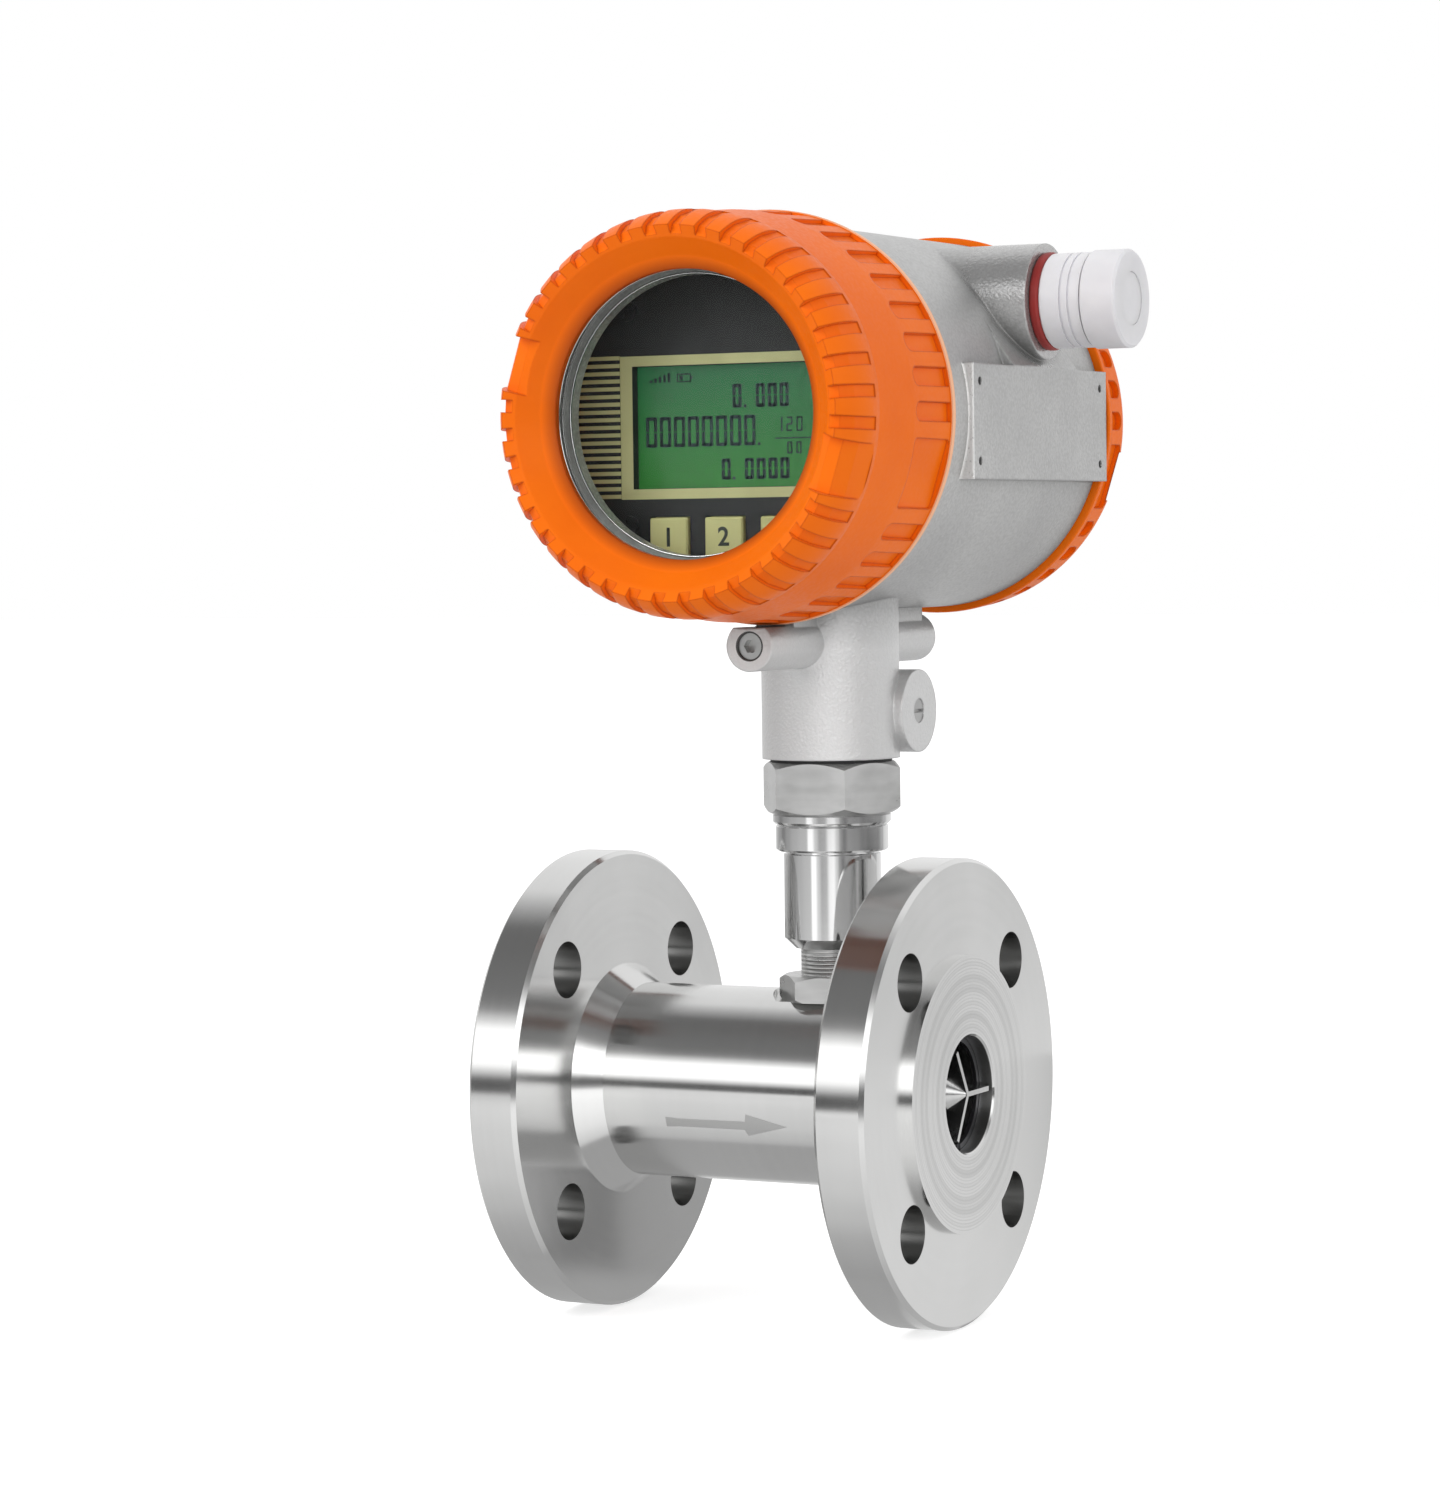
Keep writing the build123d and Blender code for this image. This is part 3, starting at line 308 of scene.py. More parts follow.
lathe_pair = lathe.nodes.new("ShaderNodeCombineXYZ")
lathe.links.new(lathe_reach, lathe_pair.inputs[0])
lathe.links.new(lathe_along, lathe_pair.inputs[1])
lathe_scale = reckon(lathe, "MULTIPLY", lathe_in["Marks per mm"], 1000.0)
lathe.links.new(grain_of(lathe, lathe_scale, 3, lathe_pair.outputs[0], True), lathe_out["Height"])
lathe.links.new(grain_of(lathe, 420, 2, lathe_pair.outputs[0], True), lathe_out["Tone"])
lathe.links.new(grain_of(lathe, 45, 4, lathe_place), lathe_out["Smudge"])


def between(tree, value, low, high, start=0.3, end=0.7):
    node = tree.nodes.new("ShaderNodeMapRange")
    tree.links.new(value, node.inputs["Value"])
    node.inputs["From Min"].default_value, node.inputs["From Max"].default_value = start, end
    node.inputs["To Min"].default_value, node.inputs["To Max"].default_value = low, high
    return node.outputs[0]


def shade_of(tree, value, dark, light, start=0.3, end=0.7):
    return blended(tree, between(tree, value, 0.0, 1.0, start, end), dark, light)


def relief(tree, shader, height, depth, strength=1.0, under=None):
    node = tree.nodes.new("ShaderNodeBump")
    node.inputs["Strength"].default_value = strength
    node.inputs["Distance"].default_value = depth
    tree.links.new(height, node.inputs["Height"])
    if under is not None:
        tree.links.new(under, node.inputs["Normal"])
    tree.links.new(node.outputs[0], shader.inputs["Normal"])


def turned_finish(name, point, axis, dark, light, rough, marks, depth, worked=None, streak=0.0):
    material, tree, shader = new_finish(name)
    shader.inputs["Metallic"].default_value = 1.0
    height, tone, smudge = use_group(tree, lathe, {"Centre": point, "Axis": axis, "Marks per mm": marks})
    clouded = reckon(tree, "MULTIPLY_ADD", tone, 0.4, between(tree, smudge, 0.0, 0.6))
    colour = shade_of(tree, clouded, dark, light, 0.2, 0.8)
    dulled = reckon(tree, "MULTIPLY_ADD", smudge, 0.6, between(tree, tone, 0.15, 0.25))
    roughness = between(tree, dulled, *rough)
    if worked:
        colour, roughness, height = worked(tree, colour, roughness, height)
    tree.links.new(colour, shader.inputs["Base Color"])
    tree.links.new(roughness, shader.inputs["Roughness"])
    relief(tree, shader, height, depth, 0.6)
    if streak:
        shader.inputs["Anisotropic"].default_value = streak
        shader.inputs["Anisotropic Rotation"].default_value = 0.25
        tangent = tree.nodes.new("ShaderNodeTangent")
        tangent.direction_type = "RADIAL"
        tangent.axis = "XYZ"[axis.index(1.0)]
        tree.links.new(tangent.outputs[0], shader.inputs["Tangent"])
    return material


def cover_node(node, material):
    cad[node].data.materials.clear()
    cad[node].data.materials.append(material)


# Where the drill and the boring bar went, the wall is duller, and it is painted darker as shade. The
# two gasket faces carry the fine spiral that grips the gasket, over the broader rings of the first cut.
flange_work, flange_in, flange_out = shader_group("flange_work", [
    ("Hole place", "NodeSocketFloat", 0.03005),
    ("Hole radius", "NodeSocketFloat", 0.007),
    ("Bore radius", "NodeSocketFloat", 0.01425),
    ("Face radius", "NodeSocketFloat", 0.034),
    ("Length", "NodeSocketFloat", 0.11),
    ("Spiral pitch", "NodeSocketFloat", 0.0008),
    ("Ring pitch", "NodeSocketFloat", 0.0031),
], ["Drilled", "Spiral", "Rings"])
pipe_x, pipe_y, pipe_z = parts_of(flange_work, own_place(flange_work))


def flange_math(operation, *values):
    return reckon(flange_work, operation, *values)


def reach_of(first, second):
    squares = [flange_math("MULTIPLY", value, value) for value in (first, second)]
    return flange_math("SQRT", flange_math("ADD", *squares))


hole_y, hole_z = (
    flange_math("SUBTRACT", flange_math("ABSOLUTE", value), flange_in["Hole place"])
    for value in (pipe_y, pipe_z))
pipe_reach = reach_of(pipe_y, pipe_z)
in_hole, in_bore = (
    flange_math("LESS_THAN", reach, flange_math("ADD", flange_in[edge], 0.0001))
    for reach, edge in ((reach_of(hole_y, hole_z), "Hole radius"), (pipe_reach, "Bore radius")))
flange_work.links.new(flange_math("MAXIMUM", in_hole, in_bore), flange_out["Drilled"])
half_length = flange_math("MULTIPLY", flange_in["Length"], 0.5)
from_middle = flange_math("ABSOLUTE", flange_math("SUBTRACT", pipe_x, half_length))
at_end = flange_math("GREATER_THAN", from_middle, flange_math("SUBTRACT", half_length, 0.0002))
face_edge = flange_math("SUBTRACT", flange_in["Face radius"], 0.0004)
on_face = flange_math("MULTIPLY", at_end, flange_math("LESS_THAN", pipe_reach, face_edge))
wave_turns = flange_math("DIVIDE", pipe_reach, flange_in["Spiral pitch"])
wave = flange_math("SINE", flange_math("MULTIPLY", wave_turns, 2 * pi))
flange_work.links.new(flange_math("MULTIPLY", wave, on_face), flange_out["Spiral"])
ring_turns = flange_math("DIVIDE", pipe_reach, flange_in["Ring pitch"])
ring_wave = flange_math("SINE", flange_math("MULTIPLY", ring_turns, 2 * pi))
slow_wave = flange_math("SINE", flange_math("MULTIPLY", ring_turns, 2 * pi * 0.37))
ring_tone = flange_math("MULTIPLY_ADD", flange_math("ADD", ring_wave, slow_wave), 0.25, 0.5)
flange_work.links.new(flange_math("MULTIPLY", ring_tone, on_face), flange_out["Rings"])


def work_flanges(tree, colour, roughness, height):
    dull_and_shaded, spiral, rings = use_group(tree, flange_work, {})
    # The holes and the bore are painted darker, as shade inside them.
    colour = blended(tree, dull_and_shaded, colour, (0.3, 0.3, 0.295))
    colour = blended(tree, between(tree, spiral, 0.0, 0.5, 0.0, 1.0), colour, (0.56, 0.56, 0.555))
    colour = blended(tree, between(tree, rings, 0.0, 0.55, 0.3, 0.95), colour, (0.5, 0.5, 0.495))
    roughness = reckon(tree, "MULTIPLY_ADD", dull_and_shaded, 0.14, roughness)
    return colour, roughness, reckon(tree, "MULTIPLY_ADD", spiral, 2.0, height)


turned_steel = turned_finish(
    "turned_steel", pipe_point, pipe_axis, (0.70, 0.70, 0.695), (0.735, 0.735, 0.73), (0.16, 0.19),
    2.6, 0.0000025, work_flanges, 0.8)
cover_node("meter_body", turned_steel)

# The arrow on the barrel shows which way the liquid runs. It is etched, so it is flat, grey and
# duller than the turned steel round it.
barrel_r, arrow_middle = 0.02425, radians(-17.5)
arrow_start, slice_x, slice_y = 0.0383, 0.003, 0.0008
etch_rise, etch_root = 0.00002, 0.0001
arrow_outline = [
    (arrow_start, 3.0), (0.0420, 2.4), (0.0602, 2.6), (0.0606, 7.2), (0.0716, 0.6), (0.0606, -6.4),
    (0.0598, -2.6), (0.0420, -2.6), (arrow_start, -3.2)]


def plain_finish(name, pattern, dark, light, rough, metallic=0.0, depth=None):
    material, tree, shader = new_finish(name)
    height = pattern(tree)
    feed(tree, shader.inputs["Base Color"], shade_of(tree, height, dark, light))
    feed(tree, shader.inputs["Roughness"], between(tree, height, *rough))
    shader.inputs["Metallic"].default_value = metallic
    if depth:
        relief(tree, shader, height, depth)
    return material


def to_piece(work, name, material, body):
    bmesh.ops.recalc_face_normals(work, faces=work.faces[:])
    mesh = bpy.data.meshes.new(name)
    work.to_mesh(mesh)
    work.free()
    mesh.materials.append(material)
    piece = bpy.data.objects.new(name, mesh)
    bpy.context.scene.collection.objects.link(piece)
    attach(piece, body)


def slice_arrow(point, normal):
    everything = arrow_work.verts[:] + arrow_work.edges[:] + arrow_work.faces[:]
    bmesh.ops.bisect_plane(arrow_work, geom=everything, plane_co=point, plane_no=normal)


etched_steel = plain_finish(
    "etched_steel", lambda tree: grain_of(tree, 5200), (0.47, 0.47, 0.47), (0.56, 0.56, 0.55), (0.38, 0.5),
    1.0, 0.00002)
arrow_work = bmesh.new()
arrow_work.faces.new([arrow_work.verts.new((x, radians(a) * barrel_r, 0)) for x, a in arrow_outline])
for step in range(1, 12):
    slice_arrow((arrow_start + step * slice_x, 0, 0), (1, 0, 0))
for step in range(-3, 4):
    slice_arrow((0, step * slice_y, 0), (0, 1, 0))
arrow_rim = bmesh.ops.extrude_face_region(arrow_work, geom=arrow_work.faces[:])
for vert in [v for v in arrow_rim["geom"] if isinstance(v, bmesh.types.BMVert)]:
    vert.co.z = 1.0
for vert in arrow_work.verts:
    swing = arrow_middle + vert.co.y / barrel_r
    reach = barrel_r + (etch_rise if vert.co.z > 0.5 else -etch_root)
    vert.co = (vert.co.x, -cos(swing) * reach, sin(swing) * reach)
to_piece(arrow_work, "flow_arrow", etched_steel, "meter")

# The two straighteners in the bore, milled from bar: a hub held by three vanes in a sleeve. Spring
# rings of blued wire keep them in, and pressed bushes in the hubs carry the rotor's shaft.
guide_steel = turned_finish(
    "guide_steel", pipe_point, pipe_axis, (0.5, 0.5, 0.5), (0.68, 0.68, 0.67), (0.16, 0.3), 4.0, 0.000006)
ring_steel = turned_finish(
    "spring_ring_steel", pipe_point, pipe_axis, (0.24, 0.24, 0.26), (0.36, 0.36, 0.38), (0.25, 0.42),
    5.0, 0.000004)
bush_bronze = turned_finish(
    "bush_bronze", pipe_point, pipe_axis, (0.42, 0.27, 0.12), (0.56, 0.4, 0.2), (0.3, 0.5), 5.0, 0.000004)
for node in ("inlet_guide", "outlet_guide"):
    cover_node(node, guide_steel)
for node in ("inlet_ring", "outlet_ring"):
    cover_node(node, ring_steel)
for node in ("inlet_bush", "outlet_bush"):
    cover_node(node, bush_bronze)

# The rotor: a hub with six helical blades, milled from magnetic stainless steel and pressed on a
# ground shaft. The liquid turns it, and the pickup counts its blades.
rotor_steel = turned_finish(
    "rotor_steel", pipe_point, pipe_axis, (0.42, 0.42, 0.42), (0.56, 0.56, 0.55), (0.2, 0.36), 3.0, 0.000008)
cover_node("rotor", rotor_steel)
cover_node("rotor_shaft", guide_steel)

# The pickup's stem, a threaded tube screwed into the flat on the barrel and held by a hexagon
# locknut. A thin magnet and its coil sit inside it.
stack_point, stack_axis = (0.0735, 0.0, 0.0), (0.0, 0.0, 1.0)
thread, thread_in, thread_out = shader_group("screw_thread", [
    ("Centre", "NodeSocketVector", (0, 0, 0)),
    ("Axis", "NodeSocketVector", (0, 0, 1)),
    ("Across", "NodeSocketVector", (1, 0, 0)),
    ("Pitch", "NodeSocketFloat", 0.001),
], ["Height"])
thread_place = own_place(thread)
thread_arm = reckon_way(thread, "SUBTRACT", thread_place, thread_in["Centre"])
thread_up = reckon_way(thread, "CROSS_PRODUCT", thread_in["Axis"], thread_in["Across"])
thread_along = reckon_way(thread, "DOT_PRODUCT", thread_arm, thread_in["Axis"])
thread_x = reckon_way(thread, "DOT_PRODUCT", thread_arm, thread_in["Across"])
thread_y = reckon_way(thread, "DOT_PRODUCT", thread_arm, thread_up)
thread_turn = reckon(thread, "ARCTAN2", thread_y, thread_x)
thread_share = reckon(thread, "MULTIPLY", thread_turn, -0.5 / pi)
thread_steps = reckon(thread, "DIVIDE", thread_along, thread_in["Pitch"])
thread_count = reckon(thread, "ADD", thread_steps, thread_share)
thread_ridge = reckon(thread, "PINGPONG", thread_count, 0.5)
thread_flat = reckon(thread, "MINIMUM", thread_ridge, 0.42)
thread.links.new(thread_flat, thread_out["Height"])


def cut_stem_thread(tree, colour, roughness, height):
    return colour, roughness, use_group(tree, thread, {"Centre": stack_point, "Pitch": 0.001})["Height"]


stem_steel = turned_finish(
    "stem_steel", stack_point, stack_axis, (0.5, 0.5, 0.5), (0.66, 0.66, 0.65), (0.2, 0.36), 4.0, 0.0009,
    cut_stem_thread)
nut_steel = turned_finish(
    "nut_steel", stack_point, stack_axis, (0.44, 0.44, 0.435), (0.66, 0.66, 0.655), (0.24, 0.34), 5.0,
    0.000002)
cover_node("pickup_stem", stem_steel)
cover_node("pickup_locknut", nut_steel)
magnet_grey = plain_finish(
    "magnet_grey", lambda tree: grain_of(tree, 3000), (0.1, 0.1, 0.1), (0.2, 0.2, 0.2), (0.4, 0.6), 1.0)
cover_node("pickup_magnet", magnet_grey)


def wire_turns(tree):
    turns = tree.nodes.new("ShaderNodeTexWave")
    turns.bands_direction = "Z"
    turns.inputs["Scale"].default_value = 700
    tree.links.new(own_place(tree), turns.inputs["Vector"])
    return turns.outputs["Fac"]


coil_copper = plain_finish(
    "coil_copper", wire_turns, (0.36, 0.12, 0.04), (0.62, 0.26, 0.1), (0.3, 0.5), 1.0, 0.00005)
cover_node("pickup_coil", coil_copper)

# The pickup's tube, polished bright, with a turned collar. A washer and a large hexagon nut over
# it clamp the head, with a thin black gasket between nut and casting.
polished_steel = turned_finish(
    "polished_steel", stack_point, stack_axis, (0.73, 0.73, 0.73), (0.76, 0.76, 0.76), (0.07, 0.1), 6.0,
    0.0000004)
cover_node("pickup_tube", polished_steel)
cover_node("collar_washer", polished_steel)
cover_node("coupling_nut", nut_steel)
black_rubber = plain_finish(
    "black_rubber", lambda tree: grain_of(tree, 2400, 4), (0.012, 0.012, 0.012), (0.03, 0.03, 0.03),
    (0.55, 0.75), depth=0.00002)
cover_node("neck_gasket", black_rubber)

# The head's housing, one aluminium casting under silver grey paint that keeps the fine grain of the
# mould and softens the corners. Inner corners and the lock screw's hole are painted darker as shade,
# the neck is paler, and the front end face of the side pad is lighter in speckled patches.
head_x, head_z = 0.0735, 0.1645
boss_y, boss_z, boss_r, boss_start_x = 0.0243, head_z + 0.0284, 0.0142, head_x + 0.03
pad_front_y, pad_low_z, pad_high_z = -0.02, head_z - 0.0153, head_z + 0.0123
lock_z, lock_hole_r = head_z - 0.0542, 0.0036
neck_z, drum_z = head_z - 0.056, head_z - 0.046
cast, cast_in, cast_out = shader_group("cast_skin", [
    ("Grains per mm", "NodeSocketFloat", 2.0),
], ["Height", "Speckle", "Cloud"])
cast_place = own_place(cast)
cast_scale = reckon(cast, "MULTIPLY", cast_in["Grains per mm"], 1000.0)
cast_fine = grain_of(cast, cast_scale, 5, cast_place, fineness=0.6)
cast_pits = cast.nodes.new("ShaderNodeTexVoronoi")
cast.links.new(cast_place, cast_pits.inputs["Vector"])
cast.links.new(cast_scale, cast_pits.inputs["Scale"])
pit_depth = cast_pits.outputs["Distance"]
cast.links.new(reckon(cast, "MULTIPLY_ADD", pit_depth, 0.4, cast_fine), cast_out["Height"])
cast.links.new(pit_depth, cast_out["Speckle"])
cast.links.new(grain_of(cast, 38, 5, cast_place), cast_out["Cloud"])


def painted_casting(
        name, dark, light, rough, grains, depth, corner, metallic, gloss, coat, worked, mirrored=None):
    material, tree, shader = new_finish(name)
    height, speckle, cloud = use_group(tree, cast, {"Grains per mm": grains})
    colour = shade_of(tree, cloud, dark, light)
    dullness = between(tree, speckle, *rough, 0.1, 0.7)
    colour, dullness = worked(tree, colour, dullness, height)
    soft_corner = tree.nodes.new("ShaderNodeBevel")
    soft_corner.samples = 6
    soft_corner.inputs["Radius"].default_value = corner
    if mirrored:
        # Edges and creases of the enamel are painted darker, as shade round the pockets.
        facet = tree.nodes.new("ShaderNodeNewGeometry").outputs["Normal"]
        flatness = reckon_way(tree, "DOT_PRODUCT", soft_corner.outputs[0], facet)
        colour = blended(tree, between(tree, flatness, 0.55, 0.0, 0.8, 0.995), colour, (0.52, 0.05, 0.002))
        # In the steel's mirror the enamel is painted dull brown: a painted reflection.
        in_steel = tree.nodes.new("ShaderNodeLightPath").outputs["Is Glossy Ray"]
        colour = blended(tree, in_steel, colour, mirrored)
    tree.links.new(colour, shader.inputs["Base Color"])
    tree.links.new(dullness, shader.inputs["Roughness"])
    shader.inputs["Metallic"].default_value = metallic
    shader.inputs["Specular IOR Level"].default_value = gloss
    shader.inputs["Coat Weight"].default_value = coat
    shader.inputs["Coat Roughness"].default_value = 0.12
    relief(tree, shader, height, depth, 0.7, soft_corner.outputs[0])
    return material


def reach_from(tree, first, first_at, second, second_at):
    squares = [
        reckon(tree, "POWER", reckon(tree, "SUBTRACT", place, centre), 2.0)
        for place, centre in ((first, first_at), (second, second_at))]
    return reckon(tree, "SQRT", reckon(tree, "ADD", *squares))


def work_housing(tree, colour, dullness, grain):
    x, y, z = parts_of(tree, own_place(tree))
    colour = blended(tree, between(tree, grain, 0.0, 0.34, 0.62, 0.82), colour, (0.36, 0.36, 0.355))
    colour = blended(tree, between(tree, grain, 0.28, 0.0, 0.35, 0.52), colour, (0.72, 0.72, 0.715))
    # Inner corners are painted darker as shade, by how closely the casting closes round them.
    corners = tree.nodes.new("ShaderNodeAmbientOcclusion")
    corners.samples = 8
    corners.only_local = True
    corners.inputs["Distance"].default_value = 0.007
    corner_shade = between(tree, corners.outputs["AO"], 0.75, 0.0, 0.25, 0.92)
    colour = blended(tree, corner_shade, colour, (0.17, 0.17, 0.165))
    colour = blended(tree, between(tree, z, 0.75, 0.0, neck_z, drum_z), colour, (0.72, 0.72, 0.72))
    # The lock screw's hole is painted near black, as shade inside it.
    lock_hole_shade = reckon(tree, "LESS_THAN", reach_from(tree, x, head_x, z, lock_z), lock_hole_r)
    colour = blended(tree, reckon(tree, "MULTIPLY", lock_hole_shade, 0.92), colour, (0.03, 0.03, 0.03))
    # The front end face of the side pad is painted lighter in speckled patches.
    at_front = reckon(tree, "COMPARE", y, pad_front_y, 0.0004)
    in_height = reckon(tree, "COMPARE", z, (pad_low_z + pad_high_z) / 2, (pad_high_z - pad_low_z) / 2)
    lightened_strip = reckon(tree, "MULTIPLY", in_height, between(tree, grain, 0.3, 1.0, 0.4, 0.6))
    colour = blended(tree, reckon(tree, "MULTIPLY", at_front, lightened_strip), colour, (0.86, 0.86, 0.85))
    boss_reach = reach_from(tree, y, boss_y, z, boss_z)
    beside_boss = between(tree, boss_reach, 1.0, 0.0, boss_r + 0.0004, boss_r + 0.003)
    past_drum = between(tree, x, 0.0, 1.0, boss_start_x, boss_start_x + 0.006)
    on_boss = reckon(tree, "MULTIPLY", beside_boss, past_drum)
    return colour, reckon(tree, "MULTIPLY", dullness, between(tree, on_boss, 1.0, 0.5, 0.0, 1.0))


housing_grey = painted_casting(
    "housing_grey", (0.46, 0.46, 0.46), (0.55, 0.55, 0.545), (0.28, 0.38), 1.25, 0.00018, 0.0008,
    0.65, 0.5, 0.0, work_housing)
cover_node("housing", housing_grey)
screw_axis = (0.0, 1.0, 0.0)
screw_steel = turned_finish(
    "screw_steel", stack_point, screw_axis, (0.4, 0.4, 0.4), (0.54, 0.54, 0.53), (0.24, 0.4), 4.0, 0.000004)
for node in ("neck_screw", "cover_lock_screws", "terminal_screws", "earth_screw"):
    cover_node(node, screw_steel)
for node in ("front_neck_seal", "rear_neck_seal", "rear_gasket", "gland_insert"):
    cover_node(node, black_rubber)

# The two screwed covers, cast aluminium under thick orange enamel. The edges and the enamel beside
# the window are painted darker as shade, a painted highlight runs pale along the rear rim of the
# front cover, and the enamel is painted dull brown where the steel mirrors it.
window_r, window_edge, window_front_y = 0.0334, 0.0028, -0.0745
rim_r, rim_y, rim_half = 0.0494, -0.034, 0.0011


def work_enamel(tree, colour, dullness, grain):
    x, y, z = parts_of(tree, own_place(tree))
    reach = reach_from(tree, x, head_x, z, head_z)
    # Beside the window the enamel is painted dark red, as shade at the step down to the glass.
    in_front = reckon(tree, "LESS_THAN", y, window_front_y)
    window_shade = between(tree, reach, 0.8, 0.0, window_r, window_r + window_edge)
    colour = blended(tree, reckon(tree, "MULTIPLY", in_front, window_shade), colour, (0.3, 0.045, 0.004))
    # A pale painted highlight runs along the rear rim of the front cover.
    on_rim = between(tree, reach, 0.0, 0.8, rim_r - 0.0008, rim_r - 0.0003)
    lightened_strip = reckon(tree, "MULTIPLY", reckon(tree, "COMPARE", y, rim_y, rim_half), on_rim)
    return blended(tree, lightened_strip, colour, (0.96, 0.6, 0.38)), dullness


cover_orange = painted_casting(
    "cover_orange", (0.86, 0.145, 0.001), (0.93, 0.175, 0.002), (0.34, 0.46), 0.9, 0.00002, 0.0007,
    0.0, 0.12, 0.06, work_enamel, (0.2, 0.11, 0.085))
cover_node("front_cover", cover_orange)
cover_node("rear_cover", cover_orange)

# The window, tempered glass held against a gasket by a grey ring that screws into the cover. A
# turned lip finishes the front of the ring, and three fine bright beads run round the glass.
lip_crest_y, turn_steps, bead_sides = -0.0699, 96, 8
lip_outline = [
    (0.0326, -0.0695), (0.0326, -0.06975), (0.0342, -0.06978), (0.0345, lip_crest_y),
    (0.0348, -0.06978), (0.0388, -0.06975), (0.0388, -0.0695)]
beads = [(0.0327, lip_crest_y, 0.00022), (0.0348, lip_crest_y, 0.00014), (0.0335, -0.0747, 0.00016)]
window_clear, glass_tree, glass_shader = new_finish("window_clear")
glass_shader.inputs["Base Color"].default_value = (0.96, 0.99, 0.98, 1)
glass_shader.inputs["Transmission Weight"].default_value = 1.0
glass_shader.inputs["IOR"].default_value = 1.18
feed(glass_tree, glass_shader.inputs["Roughness"], between(glass_tree, grain_of(glass_tree, 60), 0.0, 0.02))
cover_node("window_glass", window_clear)

# The grain of a moulded or smoothly coated face: a fine height and a broad, slow change of tone.
moulded, moulded_in, moulded_out = shader_group("moulded_grain", [
    ("Grains per mm", "NodeSocketFloat", 3.0),
], ["Height", "Tone"])
moulded_place = own_place(moulded)
moulded_scale = reckon(moulded, "MULTIPLY", moulded_in["Grains per mm"], 1000.0)
moulded.links.new(grain_of(moulded, moulded_scale, 4, moulded_place), moulded_out["Height"])
moulded.links.new(grain_of(moulded, 90, 4, moulded_place), moulded_out["Tone"])


def moulded_finish(name, dark, light, rough, grains, depth, tweak=None):
    material, tree, shader = new_finish(name)
    height, tone = use_group(tree, moulded, {"Grains per mm": grains})
    feed(tree, shader.inputs["Base Color"], shade_of(tree, tone, dark, light))
    feed(tree, shader.inputs["Roughness"], between(tree, height, *rough))
    relief(tree, shader, height, depth, 0.6)
    if tweak:
        tweak(shader)
    return material


def turn_round_head(work, outline):
    loops = []
    for step in range(turn_steps):
        swing = 2 * pi * step / turn_steps
        loops.append([
            work.verts.new((head_x + reach * cos(swing), y, head_z + reach * sin(swing)))
            for reach, y in outline])
    for step in range(turn_steps):
        first, second = loops[step], loops[(step + 1) % turn_steps]
        for side in range(len(outline)):
            after = (side + 1) % len(outline)
            work.faces.new((first[side], second[side], second[after], first[after]))


def round_bead(reach, y, bead_r):
    swings = [2 * pi * side / bead_sides for side in range(bead_sides)]
    return [(reach + bead_r * cos(swing), y + bead_r * sin(swing)) for swing in swings]


ring_grey = moulded_finish("ring_grey", (0.26, 0.26, 0.25), (0.42, 0.42, 0.4), (0.2, 0.32), 1.5, 0.00002)
cover_node("window_ring", ring_grey)
cover_node("window_gasket", ring_grey)
lip_work = bmesh.new()
turn_round_head(lip_work, lip_outline)
to_piece(lip_work, "window_lip", ring_grey, "window")
bead_work = bmesh.new()
for bead in beads:
    turn_round_head(bead_work, round_bead(*bead))
for face in bead_work.faces:
    face.smooth = True
to_piece(bead_work, "window_beads", polished_steel, "window")

# The display panel, a black film on a plastic plate. The khaki frame round the display and the
# khaki bars beside it are printed on the film.
panel_y, print_t = -0.0545, 0.00006
frame_x, frame_low, frame_high = 0.0276, -0.0191, 0.0147
opening_x, opening_low, opening_high = 0.0244, -0.0167, 0.0123
bar_count, bar_pitch, bar_height, bar_top, bar_gap, bars_r = 19, 0.00182, 0.00095, 0.0144, 0.0001, 0.0402
panel_black = moulded_finish(
    "panel_black", (0.012, 0.011, 0.012), (0.02, 0.019, 0.021), (0.5, 0.62), 5.0, 0.000004)
khaki_print = moulded_finish(
    "khaki_print", (0.58, 0.55, 0.26), (0.66, 0.63, 0.31), (0.4, 0.55), 4.0, 0.000004)
cover_node("display_panel", panel_black)


def slab(work, x_low, x_high, z_low, z_high, y_back, thick):
    corners = [(x_low, z_low), (x_high, z_low), (x_high, z_high), (x_low, z_high)]
    back, front = (
        [work.verts.new((head_x + x, y, head_z + z)) for x, z in corners] for y in (y_back, y_back - thick))
    work.faces.new(front)
    work.faces.new(back[::-1])
    for first in range(4):
        second = (first + 1) % 4
        work.faces.new((back[first], back[second], front[second], front[first]))


frame_work = bmesh.new()
for x_low, x_high, z_low, z_high in (
    (-frame_x, -opening_x, frame_low, frame_high), (opening_x, frame_x, frame_low, frame_high),
    (-opening_x, opening_x, opening_high, frame_high), (-opening_x, opening_x, frame_low, opening_low),
):
    slab(frame_work, x_low, x_high, z_low, z_high, panel_y, print_t)
to_piece(frame_work, "printed_frame", khaki_print, "head")
bar_work = bmesh.new()
for row in range(bar_count):
    middle = bar_top - bar_pitch * row
    reach = (bars_r ** 2 - middle ** 2) ** 0.5
    for side in (-1, 1):
        ends = sorted((side * (frame_x + bar_gap), side * reach))
        slab(bar_work, *ends, middle - bar_height / 2, middle + bar_height / 2, panel_y, print_t)
to_piece(bar_work, "printed_bars", khaki_print, "head")

